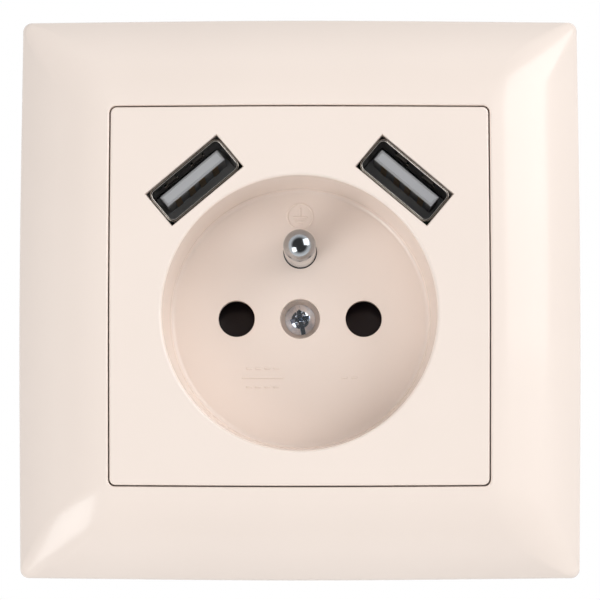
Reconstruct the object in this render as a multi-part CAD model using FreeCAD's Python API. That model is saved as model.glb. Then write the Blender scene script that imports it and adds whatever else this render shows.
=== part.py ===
"""Flush wall socket with a round plug recess, an earth pin and two angled USB-A ports.

Frame: the origin is the middle of the socket in the plane of the wall, -Y points out of the wall
towards the user, +X to the user's right and +Z up. Millimetres.
"""
import FreeCAD
import Part

import os
from math import cos, hypot, radians, sin, sqrt

from FreeCAD import Rotation, Vector

# Outer frame
FRAME_MARGIN = 5.9
FRAME_HEIGHT = 10.4
FRAME_BOW = 0.35
FRAME_SIDE_WALL = 2.5
FRAME_WALL = 1.8
FRAME_OUTER_SLOPE = 52.0
FRAME_INNER_SLOPE = 8.0
FRAME_LIP_LAND = 0.4
FRAME_LIP_BEVEL = 0.25
FRAME_CORNER_RADIUS = 1.3
MITRE_SWELL = 3.4
OPENING_CORNER_RADIUS = 1.0
DOME_STATIONS = 4
SIDE_RUNS = 4
CORNER_RUNS = 3
CAVITY_STATIONS = (0.35, 1.0)
FRAME_LEDGE_WIDTH = 1.5
FRAME_LEDGE = 1.4
FRAME_SKIRT = 1.6
FRAME_RIB = 1.2
FRAME_RIB_OFFSET = 14.0
FRAME_RIB_SETBACK = 0.3
SCREW_NOTCH_WIDTH = 14.0
SCREW_NOTCH_DEPTH = 3.6

# Centre plate
PLATE_LAP = 3.0
PLATE_BOW = 0.12
PLATE_SKIN = 2.2
PLATE_EDGE = 2.8
PLATE_RIM = 1.6
PLATE_EDGE_BEVEL = 0.2
SEAM_GAP = 0.2
SEAT_GAP = 0.1

# Plug recess, moulded in the plate
RECESS_DROP = 2.5
RECESS_RADIUS = 20.0
RECESS_DRAFT = 0.6
RECESS_DEPTH = 15.0
RECESS_WALL = 1.3
RECESS_FLOOR = 2.0
PIN_SPACING = 19.0
PIN_HOLE_RADIUS = 2.7
EARTH_PIN_RISE = 10.0
EARTH_HOLE_GAP = 0.15

# Earth pin
EARTH_PIN_RADIUS = 2.4
EARTH_PIN_LENGTH = 14.0
EARTH_NOSE_ANGLES = (45, 90)
EARTH_SHOULDER = 0.25
EARTH_PAD_HALF_WIDTH = 3.6
EARTH_PAD_SETBACK = 1.0
EARTH_STEM_RADIUS = 1.9
EARTH_RIVET_RADIUS = 2.8
EARTH_RIVET = 0.8

# Centre screw
SCREW_RADIUS = 1.5
SCREW_HEAD_RADIUS = 2.3
SCREW_HEAD = 1.8
SCREW_WELL_RADIUS = 2.95
SCREW_WELL_DEPTH = 3.4
SCREW_WELL_WALL = 1.1
SCREW_REACH = 9.0
DRIVE_SLOT = 0.7
DRIVE_SLOT_DEPTH = 0.9
DRIVE_CROSS_LENGTH = 2.6
DRIVE_TURN = 15.0

# Pin shutter and its spring
SHUTTER_ZONE = 3.0
SHUTTER_GAP = 0.2
SHUTTER_CLEAR = 0.2
SHUTTER_OUTER_LAP = 2.0
SHUTTER_INNER_LAP = 1.8
SHUTTER_COVER = 0.3
SHUTTER_BRIDGE = 2.8
SHUTTER_TIP = 0.6
SHUTTER_RAIL = 2.0
SHUTTER_STOP = 1.6
SPRING_LENGTH = 9.4
SPRING_TURNS = 5
SPRING_RUNS = 10
SPRING_WIRE = 0.32
SPRING_RADIUS = 1.05
SPRING_NUB_RADIUS = 0.7
SPRING_NUB = 1.2
SPRING_SEAT = 1.4
SPRING_SEAT_HALF_WIDTH = 2.6

# Insert body behind the wall
BODY_ROUND = 1.4
BODY_ROOM = 0.3
BASE_TOP = 10.5
BASE_DEPTH = 15.9
BASE_FRONT_WALL = 2.0
BASE_SKIRT = 1.5
BASE_SKIRT_TOP = -12.0
COVER_WALL = 1.8

# Mounting yoke
YOKE_THICKNESS = 1.0
YOKE_CORNER_RADIUS = 5.0
YOKE_PLAY = 0.1
YOKE_ROOM = 0.7
YOKE_OPENING_CORNER = 5.0
WALL_SLOT_RADIUS = 2.0
WALL_SLOT_LENGTH = 8.4
WALL_SLOT_MARGIN = 1.3
TAB_WIDTH = 6.0
TAB_CENTRE = 6.2
TAB_LENGTH = 15.0
TAB_BEND = 0.6
WINDOW_WIDTH = 3.2
WINDOW_LENGTH = 2.8
WINDOW_END = 1.4
NUB_PLAY = 0.15
NUB_HEIGHT = 0.9

# Contacts
CONTACT_SHEET = 0.7
CONTACT_HEIGHT = 6.0
CONTACT_MOUTH = 3.1
CONTACT_GRIP = 2.3
CONTACT_HEEL = 2.9
CONTACT_MOUTH_START = 0.6
CONTACT_GRIP_START = 2.8
CONTACT_GRIP_LENGTH = 1.2
CONTACT_HEEL_START = 6.9
CONTACT_STRIP_WIDTH = 4.0
CONTACT_FOOT = 3.0
CHAMBER_PLAY = 0.4
EARTH_STRAP_WIDTH = 6.0
EARTH_STRAP_SHEET = 1.0
EARTH_STRAP_ABOVE = 2.6
STRAP_HOLE_GAP = 0.05
FEED_WIDTH = 2.6

# Terminals
TERMINAL_OFFSET = 9.0
TONGUE_LEVEL = -14.5
TONGUE_SHEET = 0.8
TONGUE_WIDTH = 4.4
TONGUE_END_GAP = 0.5
WIRE_SPACE = 2.8
CAGE_WALL = 0.9
CAGE_FOOT = 1.0
CAGE_LENGTH = 6.0
CAGE_HALF_WIDTH = 3.3
CAGE_START = 3.4
CAGE_BELOW_TONGUE = 1.5
CAGE_TRAVEL = 2.4
TERMINAL_SCREW_RADIUS = 1.5
TERMINAL_HEAD_RADIUS = 2.9
TERMINAL_HEAD = 2.2
THREAD_GAP = 0.05
SLIDE_GAP = 0.2
LEDGE_WALL = 1.3
DRIVER_OPENING = 4.6
WIRE_ENTRY = 4.2

# Rear screws
REAR_SCREW_RADIUS = 1.25
REAR_SCREW_HEAD_RADIUS = 2.4
REAR_SCREW_HEAD = 1.6
REAR_SCREW_LENGTH = 11.0
REAR_SCREW_GAP = 0.05
COVER_TONGUE = 4.0
COVER_TONGUE_WIDTH = 6.0
COVER_TONGUE_SHEET = 1.2
COVER_TONGUE_X = 8.0
COVER_TONGUE_Z = -25.2
REAR_SCREW_X = 16.0
REAR_SCREW_Z = 7.0

# USB ports
PORT_X = 15.3
PORT_OFF_CUP = 3.329
PORT_SIDE_ROOM = 0.8
PORT_TILT = 40.0
PORT_SETBACK = 0.3
PORT_PLAY = 0.13
SHELL_WIDTH = 13.2
SHELL_HEIGHT = 5.75
SHELL_LENGTH = 14.1
SHELL_SHEET = 0.32
SHELL_CORNER = 0.5
SHELL_LEG_WIDTH = 1.4
FINGER_OFFSET = 2.5
FINGER_WIDTH = 1.8
FINGER_LENGTH = 5.0
FINGER_ROOT = 8.2
FINGER_SLOT = 0.35
FINGER_ANGLE = 5.0
INSULATOR_BLOCK = 3.4
INSULATOR_GAP = 0.08
USB_TONGUE_SIDE_GAP = 0.88
USB_TONGUE_LOW = -0.38
USB_TONGUE_HIGH = 1.38
USB_TONGUE_SETBACK = 0.8
USB_TONGUE_BEVEL = 0.3
USB_CONTACT_INSET = 1.9
USB_CONTACT_INNER = 1.0
USB_CONTACT_WIDTH = 1.0
USB_CONTACT_SHEET = 0.25
USB_CONTACT_PROUD = 0.05
USB_CONTACT_SETBACK = 1.0
LEG_LENGTH = 2.4
LEG_HOLE_GAP = 0.15

# Charger
BOARD_SHEET = 1.6
BOARD_GAP = 0.3
HOUSING_WALL = 1.2
BOARD_TAIL = 1.7
RAIL_HEIGHT = 1.3
RAIL_WIDTH = 4.0
BOARD_STOP_WIDTH = 4.0
BOARD_STOP_X = 5.0
BOARD_STOP_LENGTH = 3.0
LUG_WIDTH = 8.0
LUG_DROP = 6.5
LUG_SHEET = 1.6
LINK_PITCH = 2.54
LINK_COUNT = 4
LINK_WIRE = 0.64
LINK_OFF_CUP = 2.7
LINK_OUT = 3.4
CORE_HALF_WIDTH = 8.0
CORE_LENGTH = 12.0
CORE_HEIGHT = 9.6
CORE_HEADROOM = 1.6
CORE_START = 7.6
CORE_LEG_HALF = 3.0
CORE_YOKE = 2.0
CORE_WINDOW_END = 6.1
WINDING_HALF_WIDTH = 5.8
WINDING_OVERHANG = 1.5
WINDING_GAP = 0.05
WINDING_END_GAP = 0.2
BULK_RADIUS = 3.5
BULK_LENGTH = 16.0
CAN_INSET = 9.9
BULK_START = 4.0
OUTPUT_RADIUS = 3.15
OUTPUT_LENGTH = 11.0
OUTPUT_START = 7.4
CAN_RIM = 1.2
CHIP_WIDTH = 5.0
CHIP_LENGTH = 4.0
CHIP_HEIGHT = 1.5
CHIP_X = 6.0
CHIP_START = 1.4

# Places worked out from the sizes above
FACE = -FRAME_HEIGHT
PLATE_BACK = FACE + PLATE_EDGE
RECESS_Z = -RECESS_DROP
FLOOR = FACE + RECESS_DEPTH
FLOOR_BACK = FLOOR + RECESS_FLOOR
BASE_FRONT = FLOOR_BACK + SHUTTER_ZONE
CHAMBER_FLOOR = BASE_FRONT + BASE_FRONT_WALL
BASE_BACK = BASE_FRONT + BASE_DEPTH
COVER_BACK = BASE_BACK + COVER_WALL
CUP_RADIUS = RECESS_RADIUS + RECESS_WALL
CUP_REACH = CUP_RADIUS + RECESS_DROP
EARTH_Z = RECESS_Z + EARTH_PIN_RISE
EARTH_SEAT = FLOOR_BACK + SEAT_GAP + EARTH_PAD_SETBACK
PIN_X = PIN_SPACING / 2
SHUTTER_TRAVEL = 2 * PIN_HOLE_RADIUS + SHUTTER_CLEAR
SHUTTER_HALF_WIDTH = PIN_X + PIN_HOLE_RADIUS + SHUTTER_OUTER_LAP
SHUTTER_LEG_INNER = PIN_X - PIN_HOLE_RADIUS - SHUTTER_INNER_LAP
TONGUE_TOP = TONGUE_LEVEL + TONGUE_SHEET
CAGE_ROOF = TONGUE_TOP + WIRE_SPACE
CAGE_TOP = CAGE_ROOF + CAGE_WALL
CAGE_SOLE = TONGUE_LEVEL - CAGE_BELOW_TONGUE
CAGE_BOTTOM = CAGE_SOLE - CAGE_FOOT
CAGE_FRONT = CHAMBER_FLOOR + CAGE_START
CAGE_BACK = CAGE_FRONT + CAGE_LENGTH
SCREW_LINE = CAGE_FRONT + CAGE_LENGTH / 2
CHAMBER_BOTTOM = CAGE_BOTTOM - CAGE_TRAVEL - SLIDE_GAP
LEDGE_BOTTOM = CHAMBER_BOTTOM - LEDGE_WALL
TERMINAL_HEAD_TOP = LEDGE_BOTTOM - SLIDE_GAP
TERMINAL_HEAD_BOTTOM = TERMINAL_HEAD_TOP - TERMINAL_HEAD
FORK_BACK = CHAMBER_FLOOR + CONTACT_HEEL_START + CONTACT_FOOT + 2 * CONTACT_SHEET + CONTACT_GRIP_LENGTH
SHUTTER_FRONT = FLOOR_BACK + SHUTTER_GAP
SHUTTER_BACK = BASE_FRONT - SHUTTER_GAP
SHUTTER_MIDDLE = (SHUTTER_FRONT + SHUTTER_BACK) / 2
SHUTTER_TOP = RECESS_Z + PIN_HOLE_RADIUS + SHUTTER_COVER
WELL_RADIUS = SCREW_WELL_RADIUS + SCREW_WELL_WALL
BRIDGE_TOP = RECESS_Z - WELL_RADIUS - SHUTTER_COVER
BRIDGE_BOTTOM = BRIDGE_TOP - SHUTTER_BRIDGE
SPRING_FOOT = BRIDGE_BOTTOM - SPRING_LENGTH
PORT_FRONT = FACE + PORT_SETBACK
PORT_BACK = PORT_FRONT + SHELL_LENGTH
PORT_Z = RECESS_Z + sqrt((CUP_RADIUS + PORT_OFF_CUP) ** 2 - PORT_X ** 2)
PORT_CORNER = Vector(SHELL_WIDTH / 2, 0, SHELL_HEIGHT / 2)
PORT_CORNERS = [Rotation(Vector(0, 1, 0), PORT_TILT).multVec(Vector(side * PORT_CORNER.x, 0, PORT_CORNER.z))
                + Vector(PORT_X, 0, PORT_Z) for side in (-1, 1)]
USB_TONGUE_HALF = SHELL_WIDTH / 2 - SHELL_SHEET - USB_TONGUE_SIDE_GAP
USB_CONTACT_OUTER = USB_TONGUE_HALF - USB_CONTACT_INSET
PORT_TOP = max(corner.z for corner in PORT_CORNERS)
PORT_REACH = max(hypot(corner.x, corner.z) for corner in PORT_CORNERS)
USB_BOARD_BACK = PORT_BACK + BOARD_SHEET
HOUSING_FLOOR = BASE_TOP + HOUSING_WALL
BOARD_BOTTOM = HOUSING_FLOOR + RAIL_HEIGHT
BOARD_TOP = BOARD_BOTTOM + BOARD_SHEET
HOUSING_FLOOR_START = BASE_FRONT + SEAT_GAP
BOARD_FRONT = HOUSING_FLOOR_START + BOARD_GAP
LINK_LEVEL = RECESS_Z + CUP_RADIUS + LINK_OFF_CUP
LONGEST_PART = max(BULK_START + BULK_LENGTH, OUTPUT_START + OUTPUT_LENGTH,
                   CORE_START + CORE_LENGTH + WINDING_OVERHANG)
HOUSING_INNER_BACK = BOARD_FRONT + LONGEST_PART + BOARD_TAIL
HOUSING_DEPTH = HOUSING_INNER_BACK + HOUSING_WALL
HOUSING_INNER_HALF = max(PORT_X + SHELL_WIDTH / 2 + PORT_SIDE_ROOM,
                         CUP_RADIUS + BASE_SKIRT + BODY_ROOM - HOUSING_WALL)
HOUSING_INNER_TOP = max(BOARD_TOP + CORE_HEIGHT + CORE_HEADROOM, PORT_TOP + PORT_SIDE_ROOM,
                        CUP_REACH + BASE_SKIRT + BODY_ROOM - HOUSING_WALL)
CAN_X = HOUSING_INNER_HALF - CAN_INSET
BODY_HALF_WIDTH = HOUSING_INNER_HALF + HOUSING_WALL
BODY_HALF_HEIGHT = HOUSING_INNER_TOP + HOUSING_WALL
BODY_RADIUS = max(BODY_HALF_HEIGHT + BODY_ROUND, PORT_REACH + BODY_ROOM + HOUSING_WALL)
YOKE_OPENING_HALF_WIDTH = BODY_HALF_WIDTH + YOKE_PLAY
YOKE_OPENING_HALF_HEIGHT = max(CUP_REACH, PORT_TOP) + YOKE_ROOM
YOKE_OPENING_REACH = max(YOKE_OPENING_HALF_WIDTH, YOKE_OPENING_HALF_HEIGHT)
WALL_SCREW_SPACING = 2 * (YOKE_OPENING_REACH + WALL_SLOT_MARGIN) + WALL_SLOT_LENGTH
YOKE_SIZE = WALL_SCREW_SPACING + WALL_SLOT_LENGTH + 2 * WALL_SLOT_MARGIN
PLATE_HALF = YOKE_OPENING_REACH + PLATE_LAP
OPENING_HALF = PLATE_HALF + SEAM_GAP
FRAME_WIDTH = YOKE_SIZE + 2 * FRAME_MARGIN
FRAME_HALF = FRAME_WIDTH / 2 - FRAME_BOW
REACH = 2 * FRAME_WIDTH
TOUCHING = 1e-3
FLATNESS = 1e-5
OVERRUN = 1.0

Y_AXIS = Vector(0, 1, 0)
Z_AXIS = Vector(0, 0, 1)
ORIGIN = Vector(0, 0, 0)


def block(x_low, x_high, y_low, y_high, z_low, z_high):
    """Box between two corners."""
    corner = Vector(x_low, y_low, z_low)
    return Part.makeBox(x_high - x_low, y_high - y_low, z_high - z_low, corner)


def rod(x, z, radius, y_low, y_high):
    """Cylinder along Y."""
    return Part.makeCylinder(radius, y_high - y_low, Vector(x, y_low, z), Y_AXIS)


def post(x, y, radius, z_low, z_high):
    """Cylinder along Z."""
    return Part.makeCylinder(radius, z_high - z_low, Vector(x, y, z_low), Z_AXIS)


def fused(shapes):
    """One solid from shapes that touch."""
    first, *others = shapes
    return first.multiFuse(others).removeSplitter() if others else first


def mirrored(shape):
    """The same shape on the other side of the plane X = 0."""
    return shape.mirror(ORIGIN, Vector(1, 0, 0))


def rounded_square(half, corner, bow, y):
    """Corners, across Y, of a square whose sides bow outwards and whose corners are rounded in short runs."""
    straight = half - corner
    runs = SIDE_RUNS if bow else 1
    outline = []
    for run in range(runs):
        share = 2 * run / runs - 1
        outline.append(Vector(half + bow * (1 - share ** 2), y, straight * share))
    for run in range(CORNER_RUNS):
        angle = radians(90 * run / CORNER_RUNS)
        outline.append(Vector(straight + corner * cos(angle), y, straight + corner * sin(angle)))
    points = []
    for turn in range(4):
        quarter = Rotation(Y_AXIS, -90 * turn)
        points += [quarter.multVec(point) for point in outline]
    return points


def flat_face(corners):
    """Face inside a closed run of corners."""
    return Part.Face(Part.makePolygon(corners + corners[:1]))


def flat_sided(sections):
    """Solid through sections with equal numbers of corners, with flat faces between each two."""
    faces = [flat_face(sections[0]), flat_face(sections[-1])]
    for near, far in zip(sections, sections[1:]):
        for number in range(len(near)):
            after = (number + 1) % len(near)
            first, second, third, fourth = near[number], near[after], far[after], far[number]
            normal = (second - first).cross(fourth - first).normalize()
            if abs(normal.dot(third - first)) < FLATNESS:
                faces.append(flat_face([first, second, third, fourth]))
            else:
                faces.append(flat_face([first, second, third]))
                faces.append(flat_face([first, third, fourth]))
    shell = Part.makeShell(faces)
    shell.sewShape()
    solid = Part.makeSolid(shell)
    if solid.Volume < 0:
        solid.reverse()
    return solid


def square_prism(half, corner, bow, y_low, y_high):
    """Block along Y on a rounded square."""
    face = flat_face(rounded_square(half, corner, bow, y_low))
    return face.extrude(Vector(0, y_high - y_low, 0))


def turned(points, x, z):
    """Solid of revolution about a line along Y. Points are (radius, y)."""
    face = flat_face([Vector(x + radius, y, z) for radius, y in points])
    return face.revolve(Vector(x, 0, z), Y_AXIS, 360)


def dome_point(share):
    """Half width, height above the wall and slope of the frame's curved side at a share of its width."""
    rise = FRAME_HEIGHT - FRAME_SIDE_WALL
    run = FRAME_HALF - OPENING_HALF - FRAME_LIP_LAND
    half_turn = (FRAME_OUTER_SLOPE - FRAME_INNER_SLOPE) / 2
    radius = sqrt(rise ** 2 + run ** 2) / 2 / sin(radians(half_turn))
    slope = FRAME_OUTER_SLOPE - 2 * half_turn * share
    across = radius * (sin(radians(FRAME_OUTER_SLOPE)) - sin(radians(slope)))
    up = radius * (cos(radians(slope)) - cos(radians(FRAME_OUTER_SLOPE)))
    scale_across = run / (radius * (sin(radians(FRAME_OUTER_SLOPE)) - sin(radians(FRAME_INNER_SLOPE))))
    scale_up = rise / (radius * (cos(radians(FRAME_INNER_SLOPE)) - cos(radians(FRAME_OUTER_SLOPE))))
    return FRAME_HALF - across * scale_across, FRAME_SIDE_WALL + up * scale_up, slope


def dome_corner(share):
    """Corner radius of the frame's section: small at both ends and swollen between, as a soft mitre."""
    ends = FRAME_CORNER_RADIUS + (OPENING_CORNER_RADIUS - FRAME_CORNER_RADIUS) * share
    return ends + 4 * MITRE_SWELL * share * (1 - share)


def dome_bow(share):
    """Outward bow of the frame's section."""
    return FRAME_BOW + (PLATE_BOW - FRAME_BOW) * share


def frame_body():
    """Outside of the frame: an upright wall and a domed slope up to the opening."""
    wall = square_prism(FRAME_HALF, FRAME_CORNER_RADIUS, FRAME_BOW, -FRAME_SIDE_WALL, 0)
    sections = []
    for station in range(DOME_STATIONS):
        share = station / (DOME_STATIONS - 1)
        half, height, _ = dome_point(share)
        sections.append(rounded_square(half, dome_corner(share), dome_bow(share), -height))
    return fused([wall, flat_sided(sections)])


def frame_cavity():
    """Hollow behind the frame's skin, open to the wall."""
    inner_half = FRAME_HALF - FRAME_WALL
    sections = [rounded_square(inner_half, FRAME_CORNER_RADIUS, 0, -FRAME_SIDE_WALL)]
    for share in CAVITY_STATIONS:
        half, height, slope = dome_point(share)
        half -= FRAME_WALL * sin(radians(slope))
        height -= FRAME_WALL * cos(radians(slope))
        sections.append(rounded_square(half, FRAME_CORNER_RADIUS, 0, -height))
    skirt = square_prism(inner_half, FRAME_CORNER_RADIUS, 0, -FRAME_SIDE_WALL, 1)
    hollow = fused([skirt, flat_sided(sections)])
    core = square_prism(OPENING_HALF + FRAME_SKIRT, OPENING_CORNER_RADIUS, 0, FACE - OVERRUN,
                        -YOKE_THICKNESS)
    return hollow.cut(core)


def frame_ribs(cavity):
    """Two stiffening ribs across the hollow on each side."""
    ribs = []
    for offset in (-FRAME_RIB_OFFSET, FRAME_RIB_OFFSET):
        low, high = offset - FRAME_RIB / 2, offset + FRAME_RIB / 2
        back = -YOKE_THICKNESS - FRAME_RIB_SETBACK
        ribs.append(cavity.common(block(low, high, FACE, back, -REACH, REACH)))
        ribs.append(cavity.common(block(-REACH, REACH, FACE, back, low, high)))
    return ribs


def cover_frame():
    """Moulded outer frame with its opening, ledge for the plate, skirt, ribs and screw notches."""
    cavity = frame_cavity()
    frame = frame_body().cut(cavity)
    frame = frame.cut(square_prism(OPENING_HALF, OPENING_CORNER_RADIUS, PLATE_BOW, FACE - OVERRUN,
                                   PLATE_BACK))
    ledge_half = OPENING_HALF - FRAME_LEDGE_WIDTH
    frame = frame.cut(square_prism(ledge_half, OPENING_CORNER_RADIUS, 0, FACE, 0))
    behind = PLATE_BACK + FRAME_LEDGE
    frame = frame.cut(square_prism(OPENING_HALF, OPENING_CORNER_RADIUS, 0, behind, 0))
    frame = fused([frame] + frame_ribs(cavity))
    half = SCREW_NOTCH_WIDTH / 2
    notch = block(OPENING_HALF - OVERRUN, OPENING_HALF + FRAME_SKIRT + OVERRUN,
                  -YOKE_THICKNESS - SCREW_NOTCH_DEPTH, 0, -half, half)
    for turn in range(4):
        frame = frame.cut(notch.rotated(ORIGIN, Y_AXIS, 90 * turn))
    lip = [edge for edge in frame.Edges
           if edge.BoundBox.YMax < FACE + TOUCHING and edge.BoundBox.XMax < OPENING_HALF + PLATE_BOW + TOUCHING
           and edge.BoundBox.XMin > -OPENING_HALF - PLATE_BOW - TOUCHING
           and edge.BoundBox.ZMax < OPENING_HALF + PLATE_BOW + TOUCHING
           and edge.BoundBox.ZMin > -OPENING_HALF - PLATE_BOW - TOUCHING]
    return frame.makeChamfer(FRAME_LIP_BEVEL, lip)


def port_placement(shape, side):
    """Turn and move a shape that was made upright at the origin to the left (-1) or right (1) port."""
    placed = shape.copy()
    placed.rotate(ORIGIN, Y_AXIS, side * PORT_TILT)
    placed.translate(Vector(side * PORT_X, 0, PORT_Z))
    return placed


def recess_tool():
    """What the plug recess removes: a drafted round well."""
    points = [
        (0, FACE - OVERRUN),
        (RECESS_RADIUS, FACE - OVERRUN),
        (RECESS_RADIUS, FACE),
        (RECESS_RADIUS - RECESS_DRAFT, FLOOR),
        (0, FLOOR),
    ]
    return turned(points, 0, RECESS_Z)


def centre_plate():
    """Moulded plate in one piece with its plug recess and its openings."""
    corner = OPENING_CORNER_RADIUS - SEAM_GAP / 2
    plate = square_prism(PLATE_HALF, corner, PLATE_BOW, FACE, PLATE_BACK)
    face_edges = [edge for edge in plate.Edges if edge.BoundBox.YMax < FACE + TOUCHING]
    plate = plate.makeChamfer(PLATE_EDGE_BEVEL, face_edges)
    plate = plate.cut(square_prism(PLATE_HALF - PLATE_RIM, corner, 0, FACE + PLATE_SKIN, 0))
    cup = rod(0, RECESS_Z, CUP_RADIUS, FACE + PLATE_SKIN / 2, FLOOR_BACK)
    well = rod(0, RECESS_Z, WELL_RADIUS, FLOOR_BACK - RECESS_FLOOR / 2, BASE_FRONT)
    plate = fused([plate, cup]).cut(recess_tool())
    plate = fused([plate, well])
    plate = plate.cut(rod(0, RECESS_Z, SCREW_WELL_RADIUS, FLOOR - OVERRUN, FLOOR + SCREW_WELL_DEPTH))
    plate = plate.cut(rod(0, RECESS_Z, SCREW_RADIUS + SLIDE_GAP, FLOOR, BASE_FRONT + OVERRUN))
    for side in (-1, 1):
        plate = plate.cut(rod(side * PIN_X, RECESS_Z, PIN_HOLE_RADIUS, FLOOR - OVERRUN,
                              FLOOR_BACK + OVERRUN))
        half_width = SHELL_WIDTH / 2 + PORT_PLAY
        half_height = SHELL_HEIGHT / 2 + PORT_PLAY
        window = block(-half_width, half_width, FACE - OVERRUN, PLATE_BACK, -half_height, half_height)
        plate = plate.cut(port_placement(window, side))
    earth_hole = EARTH_PIN_RADIUS + EARTH_SHOULDER + EARTH_HOLE_GAP
    return plate.cut(rod(0, EARTH_Z, earth_hole, FLOOR - OVERRUN, FLOOR_BACK + OVERRUN))


def earth_pin():
    """Turned pin: rounded end, shaft, shoulder that seats on the insert, stem and riveted end."""
    tip = FLOOR - EARTH_PIN_LENGTH
    shoulder = EARTH_PIN_RADIUS + EARTH_SHOULDER
    strap_back = CHAMBER_FLOOR + EARTH_STRAP_SHEET
    points = [(0, tip)]
    for angle in EARTH_NOSE_ANGLES:
        points.append((EARTH_PIN_RADIUS * sin(radians(angle)),
                       tip + EARTH_PIN_RADIUS * (1 - cos(radians(angle)))))
    points += [
        (EARTH_PIN_RADIUS, FLOOR),
        (shoulder, FLOOR),
        (shoulder, EARTH_SEAT),
        (EARTH_STEM_RADIUS, EARTH_SEAT),
        (EARTH_STEM_RADIUS, strap_back),
        (EARTH_RIVET_RADIUS, strap_back),
        (EARTH_RIVET_RADIUS, strap_back + EARTH_RIVET),
        (0, strap_back + EARTH_RIVET),
    ]
    return turned(points, 0, EARTH_Z)


def drive_cut(head_radius, face_y):
    """Long slot and short cross slot in a screw head that faces -Y, made about the Y axis."""
    back = face_y + DRIVE_SLOT_DEPTH
    half = DRIVE_SLOT / 2
    slot = block(-half, half, face_y - OVERRUN, back, -head_radius - OVERRUN, head_radius + OVERRUN)
    cross = block(-DRIVE_CROSS_LENGTH / 2, DRIVE_CROSS_LENGTH / 2, face_y - OVERRUN, back, -half, half)
    return fused([slot, cross])


def centre_screw():
    """Pan head screw with a combined slot and cross drive."""
    seat = FLOOR + SCREW_WELL_DEPTH
    top = seat - SCREW_HEAD
    screw = fused([rod(0, 0, SCREW_HEAD_RADIUS, top, seat),
                   rod(0, 0, SCREW_RADIUS, seat, seat + SCREW_REACH)])
    screw = screw.cut(drive_cut(SCREW_HEAD_RADIUS, top))
    screw.rotate(ORIGIN, Y_AXIS, DRIVE_TURN)
    screw.translate(Vector(0, 0, RECESS_Z))
    return screw


def pin_shutter():
    """Slide with one ramp behind each pin hole and a bridge below the screw well."""
    leg_profile = Part.Face(Part.makePolygon([
        Vector(SHUTTER_LEG_INNER, SHUTTER_FRONT, BRIDGE_BOTTOM),
        Vector(SHUTTER_LEG_INNER, SHUTTER_FRONT, RECESS_Z - PIN_HOLE_RADIUS),
        Vector(SHUTTER_LEG_INNER, SHUTTER_BACK - SHUTTER_TIP, SHUTTER_TOP),
        Vector(SHUTTER_LEG_INNER, SHUTTER_BACK, SHUTTER_TOP),
        Vector(SHUTTER_LEG_INNER, SHUTTER_BACK, BRIDGE_BOTTOM),
        Vector(SHUTTER_LEG_INNER, SHUTTER_FRONT, BRIDGE_BOTTOM),
    ]))
    leg = leg_profile.extrude(Vector(SHUTTER_HALF_WIDTH - SHUTTER_LEG_INNER, 0, 0))
    bridge = block(-SHUTTER_HALF_WIDTH, SHUTTER_HALF_WIDTH, SHUTTER_FRONT, SHUTTER_BACK, BRIDGE_BOTTOM,
                   BRIDGE_TOP)
    nub = post(0, SHUTTER_MIDDLE, SPRING_NUB_RADIUS, BRIDGE_BOTTOM - SPRING_NUB, BRIDGE_BOTTOM)
    return fused([bridge, leg, mirrored(leg), nub])


def shutter_spring():
    """Compression spring of square wire below the shutter, wound along Z in short straight runs."""
    rise = (SPRING_LENGTH - SPRING_WIRE) / (SPRING_TURNS * SPRING_RUNS)
    half = SPRING_WIRE / 2
    sections = []
    for run in range(SPRING_TURNS * SPRING_RUNS + 1):
        quarter = Rotation(Z_AXIS, 360 * run / SPRING_RUNS)
        middle = SPRING_FOOT + half + rise * run
        corners = []
        for out, up in ((-half, -half), (half, -half), (half, half), (-half, half)):
            corner = quarter.multVec(Vector(SPRING_RADIUS + out, 0, middle + up))
            corners.append(corner + Vector(0, SHUTTER_MIDDLE, 0))
        sections.append(corners)
    return flat_sided(sections)


def body_outline(y_low, y_high, z_low, z_high, inset=0):
    """Round block that fits a wall box, with flat sides, between two heights."""
    disc = rod(0, 0, BODY_RADIUS - inset, y_low, y_high)
    half_width = BODY_HALF_WIDTH - inset
    half_height = BODY_HALF_HEIGHT - inset
    sides = block(-half_width, half_width, y_low, y_high, -half_height, half_height)
    return disc.common(sides).common(block(-REACH, REACH, y_low, y_high, z_low, z_high))


def terminal_chamber(x):
    """Room for one cage, its screw's shank and head, and the hole for the driver."""
    half = CAGE_HALF_WIDTH + SLIDE_GAP
    shank = TERMINAL_SCREW_RADIUS + SLIDE_GAP
    head = TERMINAL_HEAD_RADIUS + SLIDE_GAP
    driver = DRIVER_OPENING / 2
    back = BASE_BACK + OVERRUN
    return [
        block(x - half, x + half, CHAMBER_FLOOR, back, CHAMBER_BOTTOM, CAGE_TOP + SLIDE_GAP),
        block(x - shank, x + shank, SCREW_LINE - shank, back, LEDGE_BOTTOM - OVERRUN,
              CHAMBER_BOTTOM + OVERRUN),
        block(x - head, x + head, SCREW_LINE - head, back, TERMINAL_HEAD_BOTTOM - SLIDE_GAP, LEDGE_BOTTOM),
        block(x - driver, x + driver, SCREW_LINE - driver, SCREW_LINE + driver, -BODY_RADIUS,
              TERMINAL_HEAD_BOTTOM),
    ]


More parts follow.
